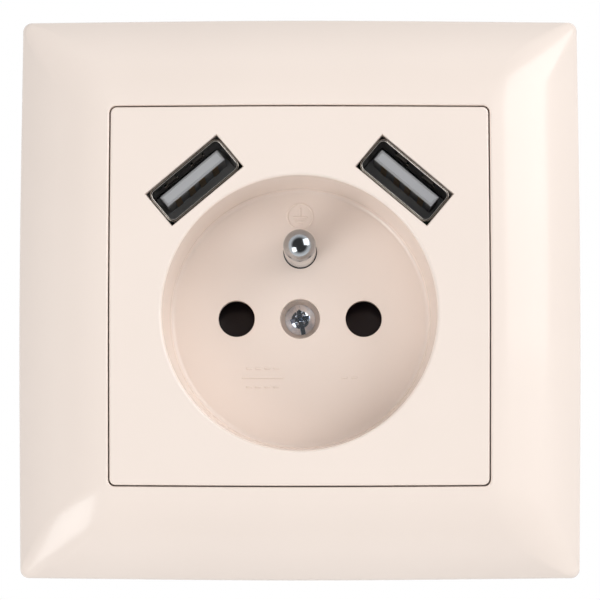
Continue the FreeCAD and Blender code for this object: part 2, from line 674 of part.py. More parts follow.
def contact_chamber():
    """Room for the right-hand fork contact, its strip to the terminal and its feed strip."""
    outside = PIN_X + CONTACT_HEEL + CONTACT_SHEET
    inside = PIN_X - CONTACT_HEEL - CONTACT_SHEET - CHAMBER_PLAY
    half_height = CONTACT_HEIGHT / 2 + CHAMBER_PLAY
    back = BASE_BACK + OVERRUN
    feed_half = FEED_WIDTH / 2 + CHAMBER_PLAY
    feed_front = FORK_BACK - CONTACT_SHEET - CHAMBER_PLAY
    return [
        block(inside, outside + CHAMBER_PLAY, CHAMBER_FLOOR, back, RECESS_Z - half_height,
              RECESS_Z + half_height),
        block(outside - CONTACT_SHEET - SLIDE_GAP, outside + SLIDE_GAP, CHAMBER_FLOOR, back, TONGUE_LEVEL,
              RECESS_Z),
        block(PIN_X - feed_half, PIN_X + feed_half, feed_front, back, RECESS_Z, BASE_TOP + OVERRUN),
    ]


def shutter_guides():
    """Rails, end stops and spring seat on the front of the insert."""
    front = FLOOR_BACK + SEAT_GAP
    inner = SHUTTER_HALF_WIDTH + SLIDE_GAP
    stop_low = SHUTTER_TOP + SEAT_GAP
    stop_high = stop_low + SHUTTER_STOP
    rail = block(inner, inner + SHUTTER_RAIL, front, BASE_FRONT, BRIDGE_BOTTOM - SHUTTER_TRAVEL, stop_high)
    stop = block(inner - SHUTTER_RAIL, inner + SHUTTER_RAIL, front, BASE_FRONT, stop_low, stop_high)
    seat = block(-SPRING_SEAT_HALF_WIDTH, SPRING_SEAT_HALF_WIDTH, front, BASE_FRONT,
                 SPRING_FOOT - SPRING_SEAT, SPRING_FOOT)
    pad_half = EARTH_PAD_HALF_WIDTH
    pad = block(-pad_half, pad_half, EARTH_SEAT, BASE_FRONT, EARTH_Z - pad_half, EARTH_Z + pad_half)
    return [rail, stop, mirrored(rail), mirrored(stop), seat, pad]


def tab_centres():
    """Sides and heights of the four folded tabs."""
    return [(side, TAB_CENTRE * level) for side in (-1, 1) for level in (-1, 1)]


def tab_nub(side, z):
    """Ramped nub on the insert that snaps into one tab's window."""
    half = WINDOW_WIDTH / 2 - NUB_PLAY
    back = TAB_LENGTH - YOKE_THICKNESS - WINDOW_END - NUB_PLAY
    front = back - WINDOW_LENGTH + 2 * NUB_PLAY
    profile = Part.Face(Part.makePolygon([
        Vector(BODY_HALF_WIDTH - OVERRUN, front, z - half),
        Vector(BODY_HALF_WIDTH, front, z - half),
        Vector(BODY_HALF_WIDTH + NUB_HEIGHT, front + NUB_HEIGHT / 2, z - half),
        Vector(BODY_HALF_WIDTH, back, z - half),
        Vector(BODY_HALF_WIDTH - OVERRUN, back, z - half),
        Vector(BODY_HALF_WIDTH - OVERRUN, front, z - half),
    ]))
    nub = profile.extrude(Vector(0, 0, 2 * half))
    return nub if side > 0 else mirrored(nub)


def rear_screw_places():
    """Positions of the two rear screws."""
    return [(side * REAR_SCREW_X, REAR_SCREW_Z) for side in (-1, 1)]


def socket_base():
    """Moulded insert: front wall, shutter guides, skirt and chambers that open to the back."""
    base = body_outline(BASE_FRONT, BASE_BACK, -BODY_RADIUS, BASE_TOP)
    skirt = body_outline(0, BASE_FRONT, -BODY_RADIUS, BASE_SKIRT_TOP)
    skirt = skirt.cut(body_outline(-OVERRUN, BASE_FRONT, -BODY_RADIUS, BASE_TOP, BASE_SKIRT))
    nubs = [tab_nub(side, z) for side, z in tab_centres()]
    base = fused([base, skirt] + shutter_guides() + nubs)
    tools = []
    for x in (-TERMINAL_OFFSET, 0, TERMINAL_OFFSET):
        tools += terminal_chamber(x)
    right = contact_chamber()
    tools += right + [mirrored(tool) for tool in right]
    half = CAGE_HALF_WIDTH + SLIDE_GAP
    strap_top = EARTH_Z + EARTH_STRAP_ABOVE + SLIDE_GAP
    tools.append(block(-half, half, CHAMBER_FLOOR, BASE_BACK + OVERRUN, TONGUE_LEVEL, strap_top))
    pin_half = PIN_HOLE_RADIUS + SEAT_GAP
    for x in (-PIN_X, PIN_X):
        tools.append(block(x - pin_half, x + pin_half, BASE_FRONT - OVERRUN, CHAMBER_FLOOR + OVERRUN,
                           RECESS_Z - pin_half, RECESS_Z + pin_half))
    tools += [tongue_block(side, SLIDE_GAP) for side in (-1, 1)]
    window = SCREW_RADIUS + SLIDE_GAP
    tools.append(block(-window, window, BASE_FRONT - OVERRUN, CHAMBER_FLOOR + OVERRUN, RECESS_Z - window,
                       RECESS_Z + window))
    tools.append(rod(0, EARTH_Z, EARTH_STEM_RADIUS + SEAT_GAP, FLOOR_BACK, CHAMBER_FLOOR + OVERRUN))
    depth = REAR_SCREW_LENGTH - COVER_WALL - LUG_SHEET + SEAT_GAP
    for x, z in rear_screw_places():
        tools.append(rod(x, z, REAR_SCREW_RADIUS + REAR_SCREW_GAP, BASE_BACK - depth, BASE_BACK + OVERRUN))
    return base.cut(fused(tools))


def tongue_block(side, play):
    """Tongue at the foot of the rear cover, or with play the pocket that it enters in the insert."""
    x = side * COVER_TONGUE_X
    half = COVER_TONGUE_WIDTH / 2 + play
    low = COVER_TONGUE_Z - COVER_TONGUE_SHEET / 2 - play
    high = COVER_TONGUE_Z + COVER_TONGUE_SHEET / 2 + play
    return block(x - half, x + half, BASE_BACK - COVER_TONGUE - play, BASE_BACK + COVER_WALL / 2, low, high)


def rear_cover():
    """Lid with three wire entries, pads that hold the forks, screw bosses and two tongues at its foot."""
    cover = body_outline(BASE_BACK, COVER_BACK, -BODY_RADIUS, BASE_TOP)
    additions = [tongue_block(side, 0) for side in (-1, 1)]
    for side in (-1, 1):
        x = side * PIN_X
        additions.append(block(x - CONTACT_GRIP, x + CONTACT_GRIP, FORK_BACK, BASE_BACK + COVER_WALL / 2,
                               RECESS_Z - CONTACT_GRIP, RECESS_Z + CONTACT_GRIP))
    cover = fused([cover] + additions)
    for x, z in rear_screw_places():
        cover = cover.cut(rod(x, z, REAR_SCREW_RADIUS + SLIDE_GAP, BASE_BACK - OVERRUN,
                              COVER_BACK + OVERRUN))
    entry_half = WIRE_ENTRY / 2
    entry_z = (TONGUE_TOP + CAGE_ROOF) / 2
    for x in (-TERMINAL_OFFSET, 0, TERMINAL_OFFSET):
        cover = cover.cut(block(x - entry_half, x + entry_half, BASE_BACK - OVERRUN, COVER_BACK + OVERRUN,
                                entry_z - entry_half, entry_z + entry_half))
    return cover


def rear_screws():
    """Two identical screws with slotted heads at the back, through the housing's lugs."""
    screws = []
    seat = COVER_BACK + LUG_SHEET
    for x, z in rear_screw_places():
        shank = rod(x, z, REAR_SCREW_RADIUS, seat - REAR_SCREW_LENGTH, seat + REAR_SCREW_HEAD / 2)
        head = rod(x, z, REAR_SCREW_HEAD_RADIUS, seat, seat + REAR_SCREW_HEAD)
        slot = block(x - REAR_SCREW_HEAD_RADIUS - OVERRUN, x + REAR_SCREW_HEAD_RADIUS + OVERRUN,
                     seat + REAR_SCREW_HEAD / 2, seat + REAR_SCREW_HEAD + OVERRUN, z - DRIVE_SLOT / 2,
                     z + DRIVE_SLOT / 2)
        screws.append(fused([shank, head]).cut(slot))
    return Part.makeCompound(screws)


def wall_slot():
    """One slot for a wall box screw, along X at the right-hand place."""
    reach = WALL_SLOT_LENGTH / 2 - WALL_SLOT_RADIUS
    x = WALL_SCREW_SPACING / 2
    ends = [rod(x + shift, 0, WALL_SLOT_RADIUS, -YOKE_THICKNESS - OVERRUN, 1) for shift in (-reach, reach)]
    middle = block(x - reach, x + reach, -YOKE_THICKNESS - OVERRUN, 1, -WALL_SLOT_RADIUS, WALL_SLOT_RADIUS)
    return fused(ends + [middle])


def folded_tab(side, z):
    """Tab bent back from the yoke's opening in two steps, with a window for the insert's nub."""
    inner = YOKE_OPENING_HALF_WIDTH
    outer = inner + YOKE_THICKNESS
    bend = TAB_BEND
    low = z - TAB_WIDTH / 2
    lean = cos(radians(45))
    front = -YOKE_THICKNESS
    outer_bend = YOKE_THICKNESS + bend
    elbow = flat_face([
        Vector(inner, bend, low),
        Vector(inner + outer_bend * (1 - lean), front + outer_bend * (1 - lean), low),
        Vector(outer + bend, front, low),
        Vector(outer + bend, 0, low),
        Vector(outer + bend * (1 - lean), bend * (1 - lean), low),
        Vector(outer, bend, low),
    ]).extrude(Vector(0, 0, TAB_WIDTH))
    end = TAB_LENGTH - YOKE_THICKNESS
    leaf = block(inner, outer, bend, end, low, low + TAB_WIDTH)
    window = block(inner - OVERRUN, outer + OVERRUN, end - WINDOW_END - WINDOW_LENGTH, end - WINDOW_END,
                   z - WINDOW_WIDTH / 2, z + WINDOW_WIDTH / 2)
    tab = fused([elbow, leaf]).cut(window)
    return tab if side > 0 else mirrored(tab)


def mounting_yoke():
    """Steel plate on the wall with four screw slots and four folded tabs."""
    plate = square_prism(YOKE_SIZE / 2, YOKE_CORNER_RADIUS, 0, -YOKE_THICKNESS, 0)
    opening = block(-YOKE_OPENING_HALF_WIDTH, YOKE_OPENING_HALF_WIDTH, -YOKE_THICKNESS - OVERRUN, 1,
                    -YOKE_OPENING_HALF_HEIGHT, YOKE_OPENING_HALF_HEIGHT)
    upright = [edge for edge in opening.Edges if edge.BoundBox.YLength > YOKE_THICKNESS]
    plate = plate.cut(opening.makeChamfer(YOKE_OPENING_CORNER, upright))
    for side, z in tab_centres():
        room = block(0, YOKE_OPENING_HALF_WIDTH + YOKE_THICKNESS + TAB_BEND, -YOKE_THICKNESS - OVERRUN, 1,
                     z - TAB_WIDTH / 2, z + TAB_WIDTH / 2)
        plate = plate.cut(room if side > 0 else mirrored(room))
    plate = fused([plate] + [folded_tab(side, z) for side, z in tab_centres()])
    for turn in range(4):
        plate = plate.cut(wall_slot().rotated(ORIGIN, Y_AXIS, 90 * turn))
    return plate


def fork_contact():
    """Right-hand contact: a bent fork that grips the pin, a side strip, and the terminal's tongue."""
    low = RECESS_Z - CONTACT_HEIGHT / 2
    mouth = CHAMBER_FLOOR + CONTACT_MOUTH_START
    grip = CHAMBER_FLOOR + CONTACT_GRIP_START
    heel = CHAMBER_FLOOR + CONTACT_HEEL_START
    web = FORK_BACK - CONTACT_SHEET
    half_path = [(CONTACT_MOUTH, mouth), (CONTACT_GRIP, grip), (CONTACT_GRIP, grip + CONTACT_GRIP_LENGTH),
                 (CONTACT_HEEL, heel), (CONTACT_HEEL, web)]
    path = [(-x, y) for x, y in half_path] + [(x, y) for x, y in reversed(half_path)]
    line = Part.makePolygon([Vector(PIN_X + x, y, low) for x, y in path])
    outward = CONTACT_SHEET
    ribbon = line.makeOffset2D(outward, 0, True, True)
    if ribbon.BoundBox.YMax < FORK_BACK - CONTACT_SHEET / 2:
        ribbon = line.makeOffset2D(-outward, 0, True, True)
    fork = ribbon.extrude(Vector(0, 0, CONTACT_HEIGHT))
    outside = PIN_X + CONTACT_HEEL + CONTACT_SHEET
    inside = outside - CONTACT_SHEET
    strip = block(inside, outside, web - CONTACT_STRIP_WIDTH, web, TONGUE_LEVEL, low)
    foot = block(inside, outside, CHAMBER_FLOOR, web, TONGUE_LEVEL, TONGUE_LEVEL + CONTACT_FOOT)
    tongue_half = TONGUE_WIDTH / 2
    flange = block(TERMINAL_OFFSET - tongue_half, outside, CHAMBER_FLOOR, CAGE_FRONT - TONGUE_END_GAP,
                   TONGUE_LEVEL, TONGUE_TOP)
    tongue = block(TERMINAL_OFFSET - tongue_half, TERMINAL_OFFSET + tongue_half, CHAMBER_FLOOR,
                   CAGE_BACK - TONGUE_END_GAP, TONGUE_LEVEL, TONGUE_TOP)
    return fused([fork, strip, foot, flange, tongue])


def earth_strap():
    """Strap from the earth pin past the centre screw to the earth terminal's tongue."""
    half = EARTH_STRAP_WIDTH / 2
    back = CHAMBER_FLOOR + EARTH_STRAP_SHEET
    strap = block(-half, half, CHAMBER_FLOOR, back, TONGUE_LEVEL, EARTH_Z + EARTH_STRAP_ABOVE)
    tongue_half = TONGUE_WIDTH / 2
    tongue = block(-tongue_half, tongue_half, CHAMBER_FLOOR, CAGE_BACK - TONGUE_END_GAP, TONGUE_LEVEL,
                   TONGUE_TOP)
    strap = fused([strap, tongue])
    strap = strap.cut(rod(0, EARTH_Z, EARTH_STEM_RADIUS + STRAP_HOLE_GAP, CHAMBER_FLOOR - OVERRUN,
                          back + OVERRUN))
    window = SCREW_RADIUS + STRAP_HOLE_GAP
    return strap.cut(block(-window, window, CHAMBER_FLOOR - OVERRUN, back + OVERRUN, RECESS_Z - window,
                           RECESS_Z + window))


def feed_strip():
    """Right-hand strip from the fork's web up to the charger board."""
    half = FEED_WIDTH / 2
    foot = RECESS_Z + CONTACT_HEIGHT / 2
    return block(PIN_X - half, PIN_X + half, FORK_BACK - CONTACT_SHEET, FORK_BACK, foot, BOARD_BOTTOM)


def terminal_cage(x):
    """Rising clamp: a rectangular loop with a threaded foot."""
    outer = block(x - CAGE_HALF_WIDTH, x + CAGE_HALF_WIDTH, CAGE_FRONT, CAGE_BACK, CAGE_BOTTOM, CAGE_TOP)
    along = [edge for edge in outer.Edges if edge.BoundBox.YLength > CAGE_LENGTH / 2]
    outer = outer.makeChamfer(CAGE_WALL / 2, along)
    inner_half = CAGE_HALF_WIDTH - CAGE_WALL
    inner = block(x - inner_half, x + inner_half, CAGE_FRONT - OVERRUN, CAGE_BACK + OVERRUN, CAGE_SOLE,
                  CAGE_ROOF)
    thread = post(x, SCREW_LINE, TERMINAL_SCREW_RADIUS + THREAD_GAP, CAGE_BOTTOM - OVERRUN,
                  CAGE_SOLE + OVERRUN)
    return outer.cut(inner).cut(thread)


def terminal_screw(x):
    """Captive screw whose end bears on the tongue and whose slotted head faces down."""
    shank = post(x, SCREW_LINE, TERMINAL_SCREW_RADIUS, TERMINAL_HEAD_TOP - TERMINAL_HEAD / 2,
                 TONGUE_LEVEL - THREAD_GAP)
    head = post(x, SCREW_LINE, TERMINAL_HEAD_RADIUS, TERMINAL_HEAD_BOTTOM, TERMINAL_HEAD_TOP)
    slot = block(x - DRIVE_SLOT / 2, x + DRIVE_SLOT / 2, SCREW_LINE - TERMINAL_HEAD_RADIUS - OVERRUN,
                 SCREW_LINE + TERMINAL_HEAD_RADIUS + OVERRUN, TERMINAL_HEAD_BOTTOM - OVERRUN,
                 TERMINAL_HEAD_BOTTOM + DRIVE_SLOT_DEPTH)
    return fused([shank, head]).cut(slot)


def shell_leg_places():
    """Offsets along the port's long side of the shell's two board legs."""
    reach = SHELL_WIDTH / 2 - SHELL_SHEET / 2
    return (-reach, reach)


def usb_contact_places():
    """Offsets of the four contacts along the port's long side."""
    return (-USB_CONTACT_OUTER, -USB_CONTACT_INNER, USB_CONTACT_INNER, USB_CONTACT_OUTER)


def usb_shell():
    """Folded steel shell, upright at the origin, with four spring fingers and two board legs."""
    half_width = SHELL_WIDTH / 2
    half_height = SHELL_HEIGHT / 2
    outer = block(-half_width, half_width, PORT_FRONT, PORT_BACK, -half_height, half_height)
    along = [edge for edge in outer.Edges if edge.BoundBox.YLength > SHELL_LENGTH / 2]
    outer = outer.makeChamfer(SHELL_CORNER, along)
    inner = block(-half_width + SHELL_SHEET, half_width - SHELL_SHEET, PORT_FRONT - OVERRUN,
                  PORT_BACK + OVERRUN,
                  -half_height + SHELL_SHEET, half_height - SHELL_SHEET)
    along = [edge for edge in inner.Edges if edge.BoundBox.YLength > SHELL_LENGTH / 2]
    shell = outer.cut(inner.makeChamfer(SHELL_CORNER - SHELL_SHEET / 2, along))
    root = PORT_FRONT + FINGER_ROOT
    finger_half = FINGER_WIDTH / 2
    for side in (-1, 1):
        for x in (-FINGER_OFFSET, FINGER_OFFSET):
            room_half = finger_half + FINGER_SLOT
            room = block(x - room_half, x + room_half, root - FINGER_LENGTH - FINGER_SLOT, root,
                         half_height - SHELL_SHEET - OVERRUN, half_height + OVERRUN)
            finger = block(x - finger_half, x + finger_half, root - FINGER_LENGTH, root + FINGER_SLOT,
                           half_height - SHELL_SHEET, half_height)
            finger.rotate(Vector(x, root, half_height), Vector(1, 0, 0), FINGER_ANGLE)
            if side < 0:
                room = room.mirror(ORIGIN, Z_AXIS)
                finger = finger.mirror(ORIGIN, Z_AXIS)
            shell = fused([shell.cut(room), finger])
    legs = []
    for x in shell_leg_places():
        legs.append(block(x - SHELL_SHEET / 2, x + SHELL_SHEET / 2, PORT_BACK - OVERRUN,
                          PORT_BACK + LEG_LENGTH,
                          -SHELL_LEG_WIDTH / 2, SHELL_LEG_WIDTH / 2))
    return fused([shell] + legs)


def usb_contact_bars(play):
    """Four contact bars with the given play all round, upright at the origin."""
    half = USB_CONTACT_WIDTH / 2 + play
    low = USB_TONGUE_LOW - USB_CONTACT_PROUD
    high = low + USB_CONTACT_SHEET
    front = PORT_FRONT + USB_TONGUE_SETBACK + USB_CONTACT_SETBACK
    return [block(x - half, x + half, front, PORT_BACK + LEG_LENGTH, low - play, high)
            for x in usb_contact_places()]


def usb_insulator():
    """Moulded tongue and back block with grooves for the contacts, upright at the origin."""
    half_width = SHELL_WIDTH / 2 - SHELL_SHEET - INSULATOR_GAP
    half_height = SHELL_HEIGHT / 2 - SHELL_SHEET - INSULATOR_GAP
    body = block(-half_width, half_width, PORT_BACK - INSULATOR_BLOCK, PORT_BACK, -half_height, half_height)
    along = [edge for edge in body.Edges if edge.BoundBox.YLength > INSULATOR_BLOCK / 2]
    body = body.makeChamfer(SHELL_CORNER, along)
    front = PORT_FRONT + USB_TONGUE_SETBACK
    tongue = block(-USB_TONGUE_HALF, USB_TONGUE_HALF, front, PORT_BACK - INSULATOR_BLOCK / 2,
                   USB_TONGUE_LOW, USB_TONGUE_HIGH)
    nose = [edge for edge in tongue.Edges if edge.BoundBox.YMax < front + TOUCHING]
    tongue = tongue.makeChamfer(USB_TONGUE_BEVEL, nose)
    insulator = fused([body, tongue])
    for bar in usb_contact_bars(INSULATOR_GAP / 2):
        insulator = insulator.cut(bar)
    return insulator


def usb_contacts():
    """Four stamped contacts, upright at the origin."""
    return Part.makeCompound(usb_contact_bars(0))


def usb_board():
    """Arched board behind the ports, with holes for their legs."""
    inset = HOUSING_WALL + BOARD_GAP
    board = body_outline(PORT_BACK, USB_BOARD_BACK, BASE_TOP - RAIL_HEIGHT, BODY_RADIUS, inset)
    board = board.cut(rod(0, RECESS_Z, CUP_RADIUS + BOARD_GAP, PORT_BACK - OVERRUN,
                          USB_BOARD_BACK + OVERRUN))
    for side in (-1, 1):
        tools = []
        for x in usb_contact_places():
            middle = USB_TONGUE_LOW - USB_CONTACT_PROUD + USB_CONTACT_SHEET / 2
            half = USB_CONTACT_WIDTH / 2 + LEG_HOLE_GAP
            tools.append(block(x - half, x + half, PORT_BACK - OVERRUN, USB_BOARD_BACK + OVERRUN,
                               middle - half, middle + half))
        for x in shell_leg_places():
            half = SHELL_LEG_WIDTH / 2 + LEG_HOLE_GAP
            thick = SHELL_SHEET / 2 + LEG_HOLE_GAP
            tools.append(block(x - thick, x + thick, PORT_BACK - OVERRUN, USB_BOARD_BACK + OVERRUN, -half,
                               half))
        for tool in tools:
            board = board.cut(port_placement(tool, side))
    return board


def charger_housing():
    """Moulded box over the charger, open to the front, with board rails and screw lugs."""
    housing = body_outline(0, HOUSING_DEPTH, BASE_TOP, BODY_RADIUS)
    housing = housing.cut(body_outline(-OVERRUN, HOUSING_INNER_BACK, HOUSING_FLOOR, BODY_RADIUS,
                                       HOUSING_WALL))
    front_room = block(-HOUSING_INNER_HALF, HOUSING_INNER_HALF, -OVERRUN, HOUSING_FLOOR_START,
                       BASE_TOP - OVERRUN, HOUSING_FLOOR + OVERRUN)
    housing = housing.cut(front_room)
    rails = []
    for side in (-1, 1):
        rail = block(HOUSING_INNER_HALF - RAIL_WIDTH, HOUSING_INNER_HALF + HOUSING_WALL / 2, BOARD_FRONT,
                     HOUSING_INNER_BACK, HOUSING_FLOOR - HOUSING_WALL / 2, BOARD_BOTTOM)
        stop = block(BOARD_STOP_X, BOARD_STOP_X + BOARD_STOP_WIDTH, USB_BOARD_BACK,
                     USB_BOARD_BACK + BOARD_STOP_LENGTH, HOUSING_INNER_TOP - HOUSING_WALL, HOUSING_INNER_TOP)
        lug = block(REAR_SCREW_X - LUG_WIDTH / 2, REAR_SCREW_X + LUG_WIDTH / 2, COVER_BACK,
                    COVER_BACK + LUG_SHEET, BASE_TOP - LUG_DROP, HOUSING_FLOOR)
        hole = rod(REAR_SCREW_X, REAR_SCREW_Z, REAR_SCREW_RADIUS + SLIDE_GAP, COVER_BACK - OVERRUN,
                   COVER_BACK + LUG_SHEET + OVERRUN)
        lug = lug.cut(hole)
        for piece in (rail, stop, lug):
            rails.append(piece if side > 0 else mirrored(piece))
    housing = fused([housing] + rails)
    feed_half = FEED_WIDTH / 2 + SLIDE_GAP
    for side in (-1, 1):
        x = side * PIN_X
        housing = housing.cut(block(x - feed_half, x + feed_half, FORK_BACK - CONTACT_SHEET - SLIDE_GAP,
                                    FORK_BACK + SLIDE_GAP, BASE_TOP - OVERRUN, HOUSING_FLOOR + OVERRUN))
    return housing


def charger_board():
    """Main board of the charger, on the housing's rails."""
    return block(-HOUSING_INNER_HALF + BOARD_GAP, HOUSING_INNER_HALF - BOARD_GAP, BOARD_FRONT,
                 HOUSING_INNER_BACK - BOARD_GAP, BOARD_BOTTOM, BOARD_TOP)


def board_link_pins():
    """Bent header pins from the back of the port board down to the main board."""
    pins = []
    half = LINK_WIRE / 2
    for number in range(LINK_COUNT):
        x = (number - (LINK_COUNT - 1) / 2) * LINK_PITCH
        bend_y = BOARD_FRONT + LINK_OUT - half
        level = block(x - half, x + half, USB_BOARD_BACK, bend_y + half, LINK_LEVEL - half,
                      LINK_LEVEL + half)
        drop = block(x - half, x + half, bend_y - half, bend_y + half, BOARD_TOP, LINK_LEVEL + half)
        pins.append(fused([level, drop]))
    return Part.makeCompound(pins)


def transformer_core():
    """Ferrite core: two side legs, a middle leg and two yokes."""
    front = BOARD_FRONT + CORE_START
    back = front + CORE_LENGTH
    core = block(-CORE_HALF_WIDTH, CORE_HALF_WIDTH, front, back, BOARD_TOP, BOARD_TOP + CORE_HEIGHT)
    window = block(CORE_LEG_HALF, CORE_WINDOW_END, front - OVERRUN, back + OVERRUN, BOARD_TOP + CORE_YOKE,
                   BOARD_TOP + CORE_HEIGHT - CORE_YOKE)
    return core.cut(window).cut(mirrored(window))


def transformer_winding():
    """Taped winding round the core's middle leg."""
    front = BOARD_FRONT + CORE_START
    back = front + CORE_LENGTH
    low = BOARD_TOP + CORE_YOKE + WINDING_END_GAP
    high = BOARD_TOP + CORE_HEIGHT - CORE_YOKE - WINDING_END_GAP
    outer = block(-WINDING_HALF_WIDTH, WINDING_HALF_WIDTH, front - WINDING_OVERHANG,
                  back + WINDING_OVERHANG, low, high)
    upright = [edge for edge in outer.Edges if edge.BoundBox.ZLength > (high - low) / 2]
    outer = outer.makeChamfer(WINDING_OVERHANG / 2, upright)
    inner = block(-CORE_LEG_HALF - WINDING_GAP, CORE_LEG_HALF + WINDING_GAP, front - WINDING_GAP,
                  back + WINDING_GAP, low - OVERRUN, high + OVERRUN)
    return outer.cut(inner)


def can_capacitor(x, radius, start, length):
    """Capacitor can that lies on the board along Y, with a narrower seal at its front end."""
    front = BOARD_FRONT + start
    back = front + length
    z = BOARD_TOP + radius
    seal = block(x - radius + CAN_RIM, x + radius - CAN_RIM, front, front + CAN_RIM, z - radius + CAN_RIM,
                 z + CAN_RIM)
    return fused([rod(x, z, radius, front + CAN_RIM, back), seal])


def charger_chip():
    """Control chip on the main board."""
    front = BOARD_FRONT + CHIP_START
    return block(CHIP_X, CHIP_X + CHIP_WIDTH, front, front + CHIP_LENGTH, BOARD_TOP,
                 BOARD_TOP + CHIP_HEIGHT)


def all_nodes():
    """Every sub-part by its name."""
    fork = fork_contact()
    feed = feed_strip()
    shell = usb_shell()
    insulator = usb_insulator()
    contacts = usb_contacts()
    nodes = {
        "cover_frame": cover_frame(),
        "centre_plate": centre_plate(),
        "centre_screw": centre_screw(),
        "earth_pin": earth_pin(),
        "pin_shutter": pin_shutter(),
        "shutter_spring": shutter_spring(),
        "mounting_yoke": mounting_yoke(),
        "socket_base": socket_base(),
        "rear_cover": rear_cover(),
        "rear_screws": rear_screws(),
        "line_contact": mirrored(fork),
        "neutral_contact": fork,
        "line_feed_strip": mirrored(feed),
        "neutral_feed_strip": feed,
        "earth_strap": earth_strap(),
        "usb_board": usb_board(),
        "charger_housing": charger_housing(),
        "charger_board": charger_board(),
        "board_link_pins": board_link_pins(),
        "transformer_core": transformer_core(),
        "transformer_winding": transformer_winding(),
        "bulk_capacitor": can_capacitor(-CAN_X, BULK_RADIUS, BULK_START, BULK_LENGTH),
        "output_capacitor": can_capacitor(CAN_X, OUTPUT_RADIUS, OUTPUT_START, OUTPUT_LENGTH),
        "charger_chip": charger_chip(),
    }
    for name, side in (("left", -1), ("right", 1)):
        nodes[f"usb_shell_{name}"] = port_placement(shell, side)
        nodes[f"usb_insulator_{name}"] = port_placement(insulator, side)
        nodes[f"usb_contacts_{name}"] = port_placement(contacts, side)
    for name, x in (("line", -TERMINAL_OFFSET), ("earth", 0), ("neutral", TERMINAL_OFFSET)):
        nodes[f"{name}_terminal_cage"] = terminal_cage(x)
        nodes[f"{name}_terminal_screw"] = terminal_screw(x)
    return nodes


def main():
    """Write one STEP file for each sub-part."""
    os.makedirs("parts", exist_ok=True)
    for name, shape in all_nodes().items():
        shape.exportStep(os.path.join("parts", name + ".step"))


main()
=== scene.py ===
"""Visual model of a flush wall socket with a round plug recess and two angled USB-A ports.

Pieces are modelled lying on the wall: x to the user's right, y up the wall and z out of the wall.
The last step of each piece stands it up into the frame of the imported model.
"""
import logging
from contextlib import contextmanager
from dataclasses import dataclass
from enum import Enum
from functools import cache
from math import atan2, cos, degrees, pi, radians, sin, sqrt
from typing import Callable, Iterable, Iterator, Sequence

import bpy
from bpy.types import Material, MeshEdge, Node, NodeSocket, NodeTree, Object
from mathutils import Matrix, Vector


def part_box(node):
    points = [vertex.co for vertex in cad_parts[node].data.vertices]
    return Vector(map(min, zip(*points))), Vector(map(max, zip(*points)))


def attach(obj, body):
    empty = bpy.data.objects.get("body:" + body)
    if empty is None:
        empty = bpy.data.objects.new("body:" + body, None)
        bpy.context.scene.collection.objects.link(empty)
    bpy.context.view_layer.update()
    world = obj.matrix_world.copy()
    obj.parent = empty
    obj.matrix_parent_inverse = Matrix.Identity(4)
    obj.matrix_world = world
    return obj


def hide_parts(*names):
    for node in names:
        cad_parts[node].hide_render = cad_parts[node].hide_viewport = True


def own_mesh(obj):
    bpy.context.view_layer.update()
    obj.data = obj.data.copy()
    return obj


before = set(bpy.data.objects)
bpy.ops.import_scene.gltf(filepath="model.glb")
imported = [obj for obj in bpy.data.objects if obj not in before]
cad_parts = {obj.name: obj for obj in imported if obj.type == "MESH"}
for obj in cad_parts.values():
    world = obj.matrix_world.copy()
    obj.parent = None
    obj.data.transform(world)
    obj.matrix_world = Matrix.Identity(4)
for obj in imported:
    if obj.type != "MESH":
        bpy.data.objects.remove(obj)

log = logging.getLogger("wall_socket")
MM = 0.001
# Edges that turn less than this are shaded smooth.
SMOOTH_ANGLE = radians(32)
# Edges that turn more than this get a small round.
SHARP_ANGLE = radians(50)
# How strongly wide faces pull the shading of their corners flat.
FLAT_WEIGHT = 60
# Edges round a small hole.
HOLE_STEPS = 64
# Vertices nearer than this are one vertex after a cut, in mm.
MERGE = 0.0005
# How far a tool reaches past what it cuts, in mm.
OVERRUN = 1.0
# Share of the longest side from which an edge counts as a side.
NEARLY = 0.99
# A face lies in the plate's front when it points this much out of the wall and is this near to it, in mm.
FACES_OUT = 0.99999
LEVEL = 0.01
# Edges in a quarter of a small, a middling and a large round.
SMALL_ROUND, ROUND, LARGE_ROUND = 5, 8, 20
# Cloud levels between which a mottled skin goes from its first colour or roughness to its second.
COLOUR_SPAN = (0.35, 0.65)
GLOSS_SPAN = (0.3, 0.7)


class Side(Enum):
    """Which of the two ports a piece belongs to."""

    LEFT = -1
    RIGHT = 1


class Cut(Enum):
    """How one piece changes another."""

    AWAY = "DIFFERENCE"
    JOINED = "UNION"


# Materials


def linear(hex_colour: str) -> tuple[float, float, float, float]:
    """Turn an sRGB hex colour into linear values.

    Args:
        hex_colour: Six hex digits after a hash sign.

    Returns:
        Red, green, blue and an alpha of one.
    """
    values = []
    for start in (1, 3, 5):
        share = int(hex_colour[start:start + 2], 16) / 255
        values.append(share / 12.92 if share <= 0.04045 else ((share + 0.055) / 1.055) ** 2.4)
    return values[0], values[1], values[2], 1.0


def add_node(tree: NodeTree, kind: str, settings: dict[str, object] | None = None,
             links: dict[str | int, object] | None = None) -> Node:
    """Add one node with its settings, its fixed inputs and its links.

    Args:
        tree: The node tree that the node goes into.
        kind: Blender's name for the node type.
        settings: Attributes of the node.
        links: Inputs by name or number; a socket is linked and anything else is set as the value.

    Returns:
        The new node.
    """
    node = tree.nodes.new(kind)
    for name, value in (settings or {}).items():
        setattr(node, name, value)
    for name, value in (links or {}).items():
        if isinstance(value, NodeSocket):
            tree.links.new(value, node.inputs[name])
        else:
            node.inputs[name].default_value = value
    return node


def set_ramp(node: Node, stops: Sequence[tuple[float, Sequence[float]]]) -> None:
    """Give a colour ramp two stops.

    Args:
        node: The ramp node.
        stops: Position and colour of each stop.
    """
    for element, (position, colour) in zip(node.color_ramp.elements, stops):
        element.position = position
        element.color = colour


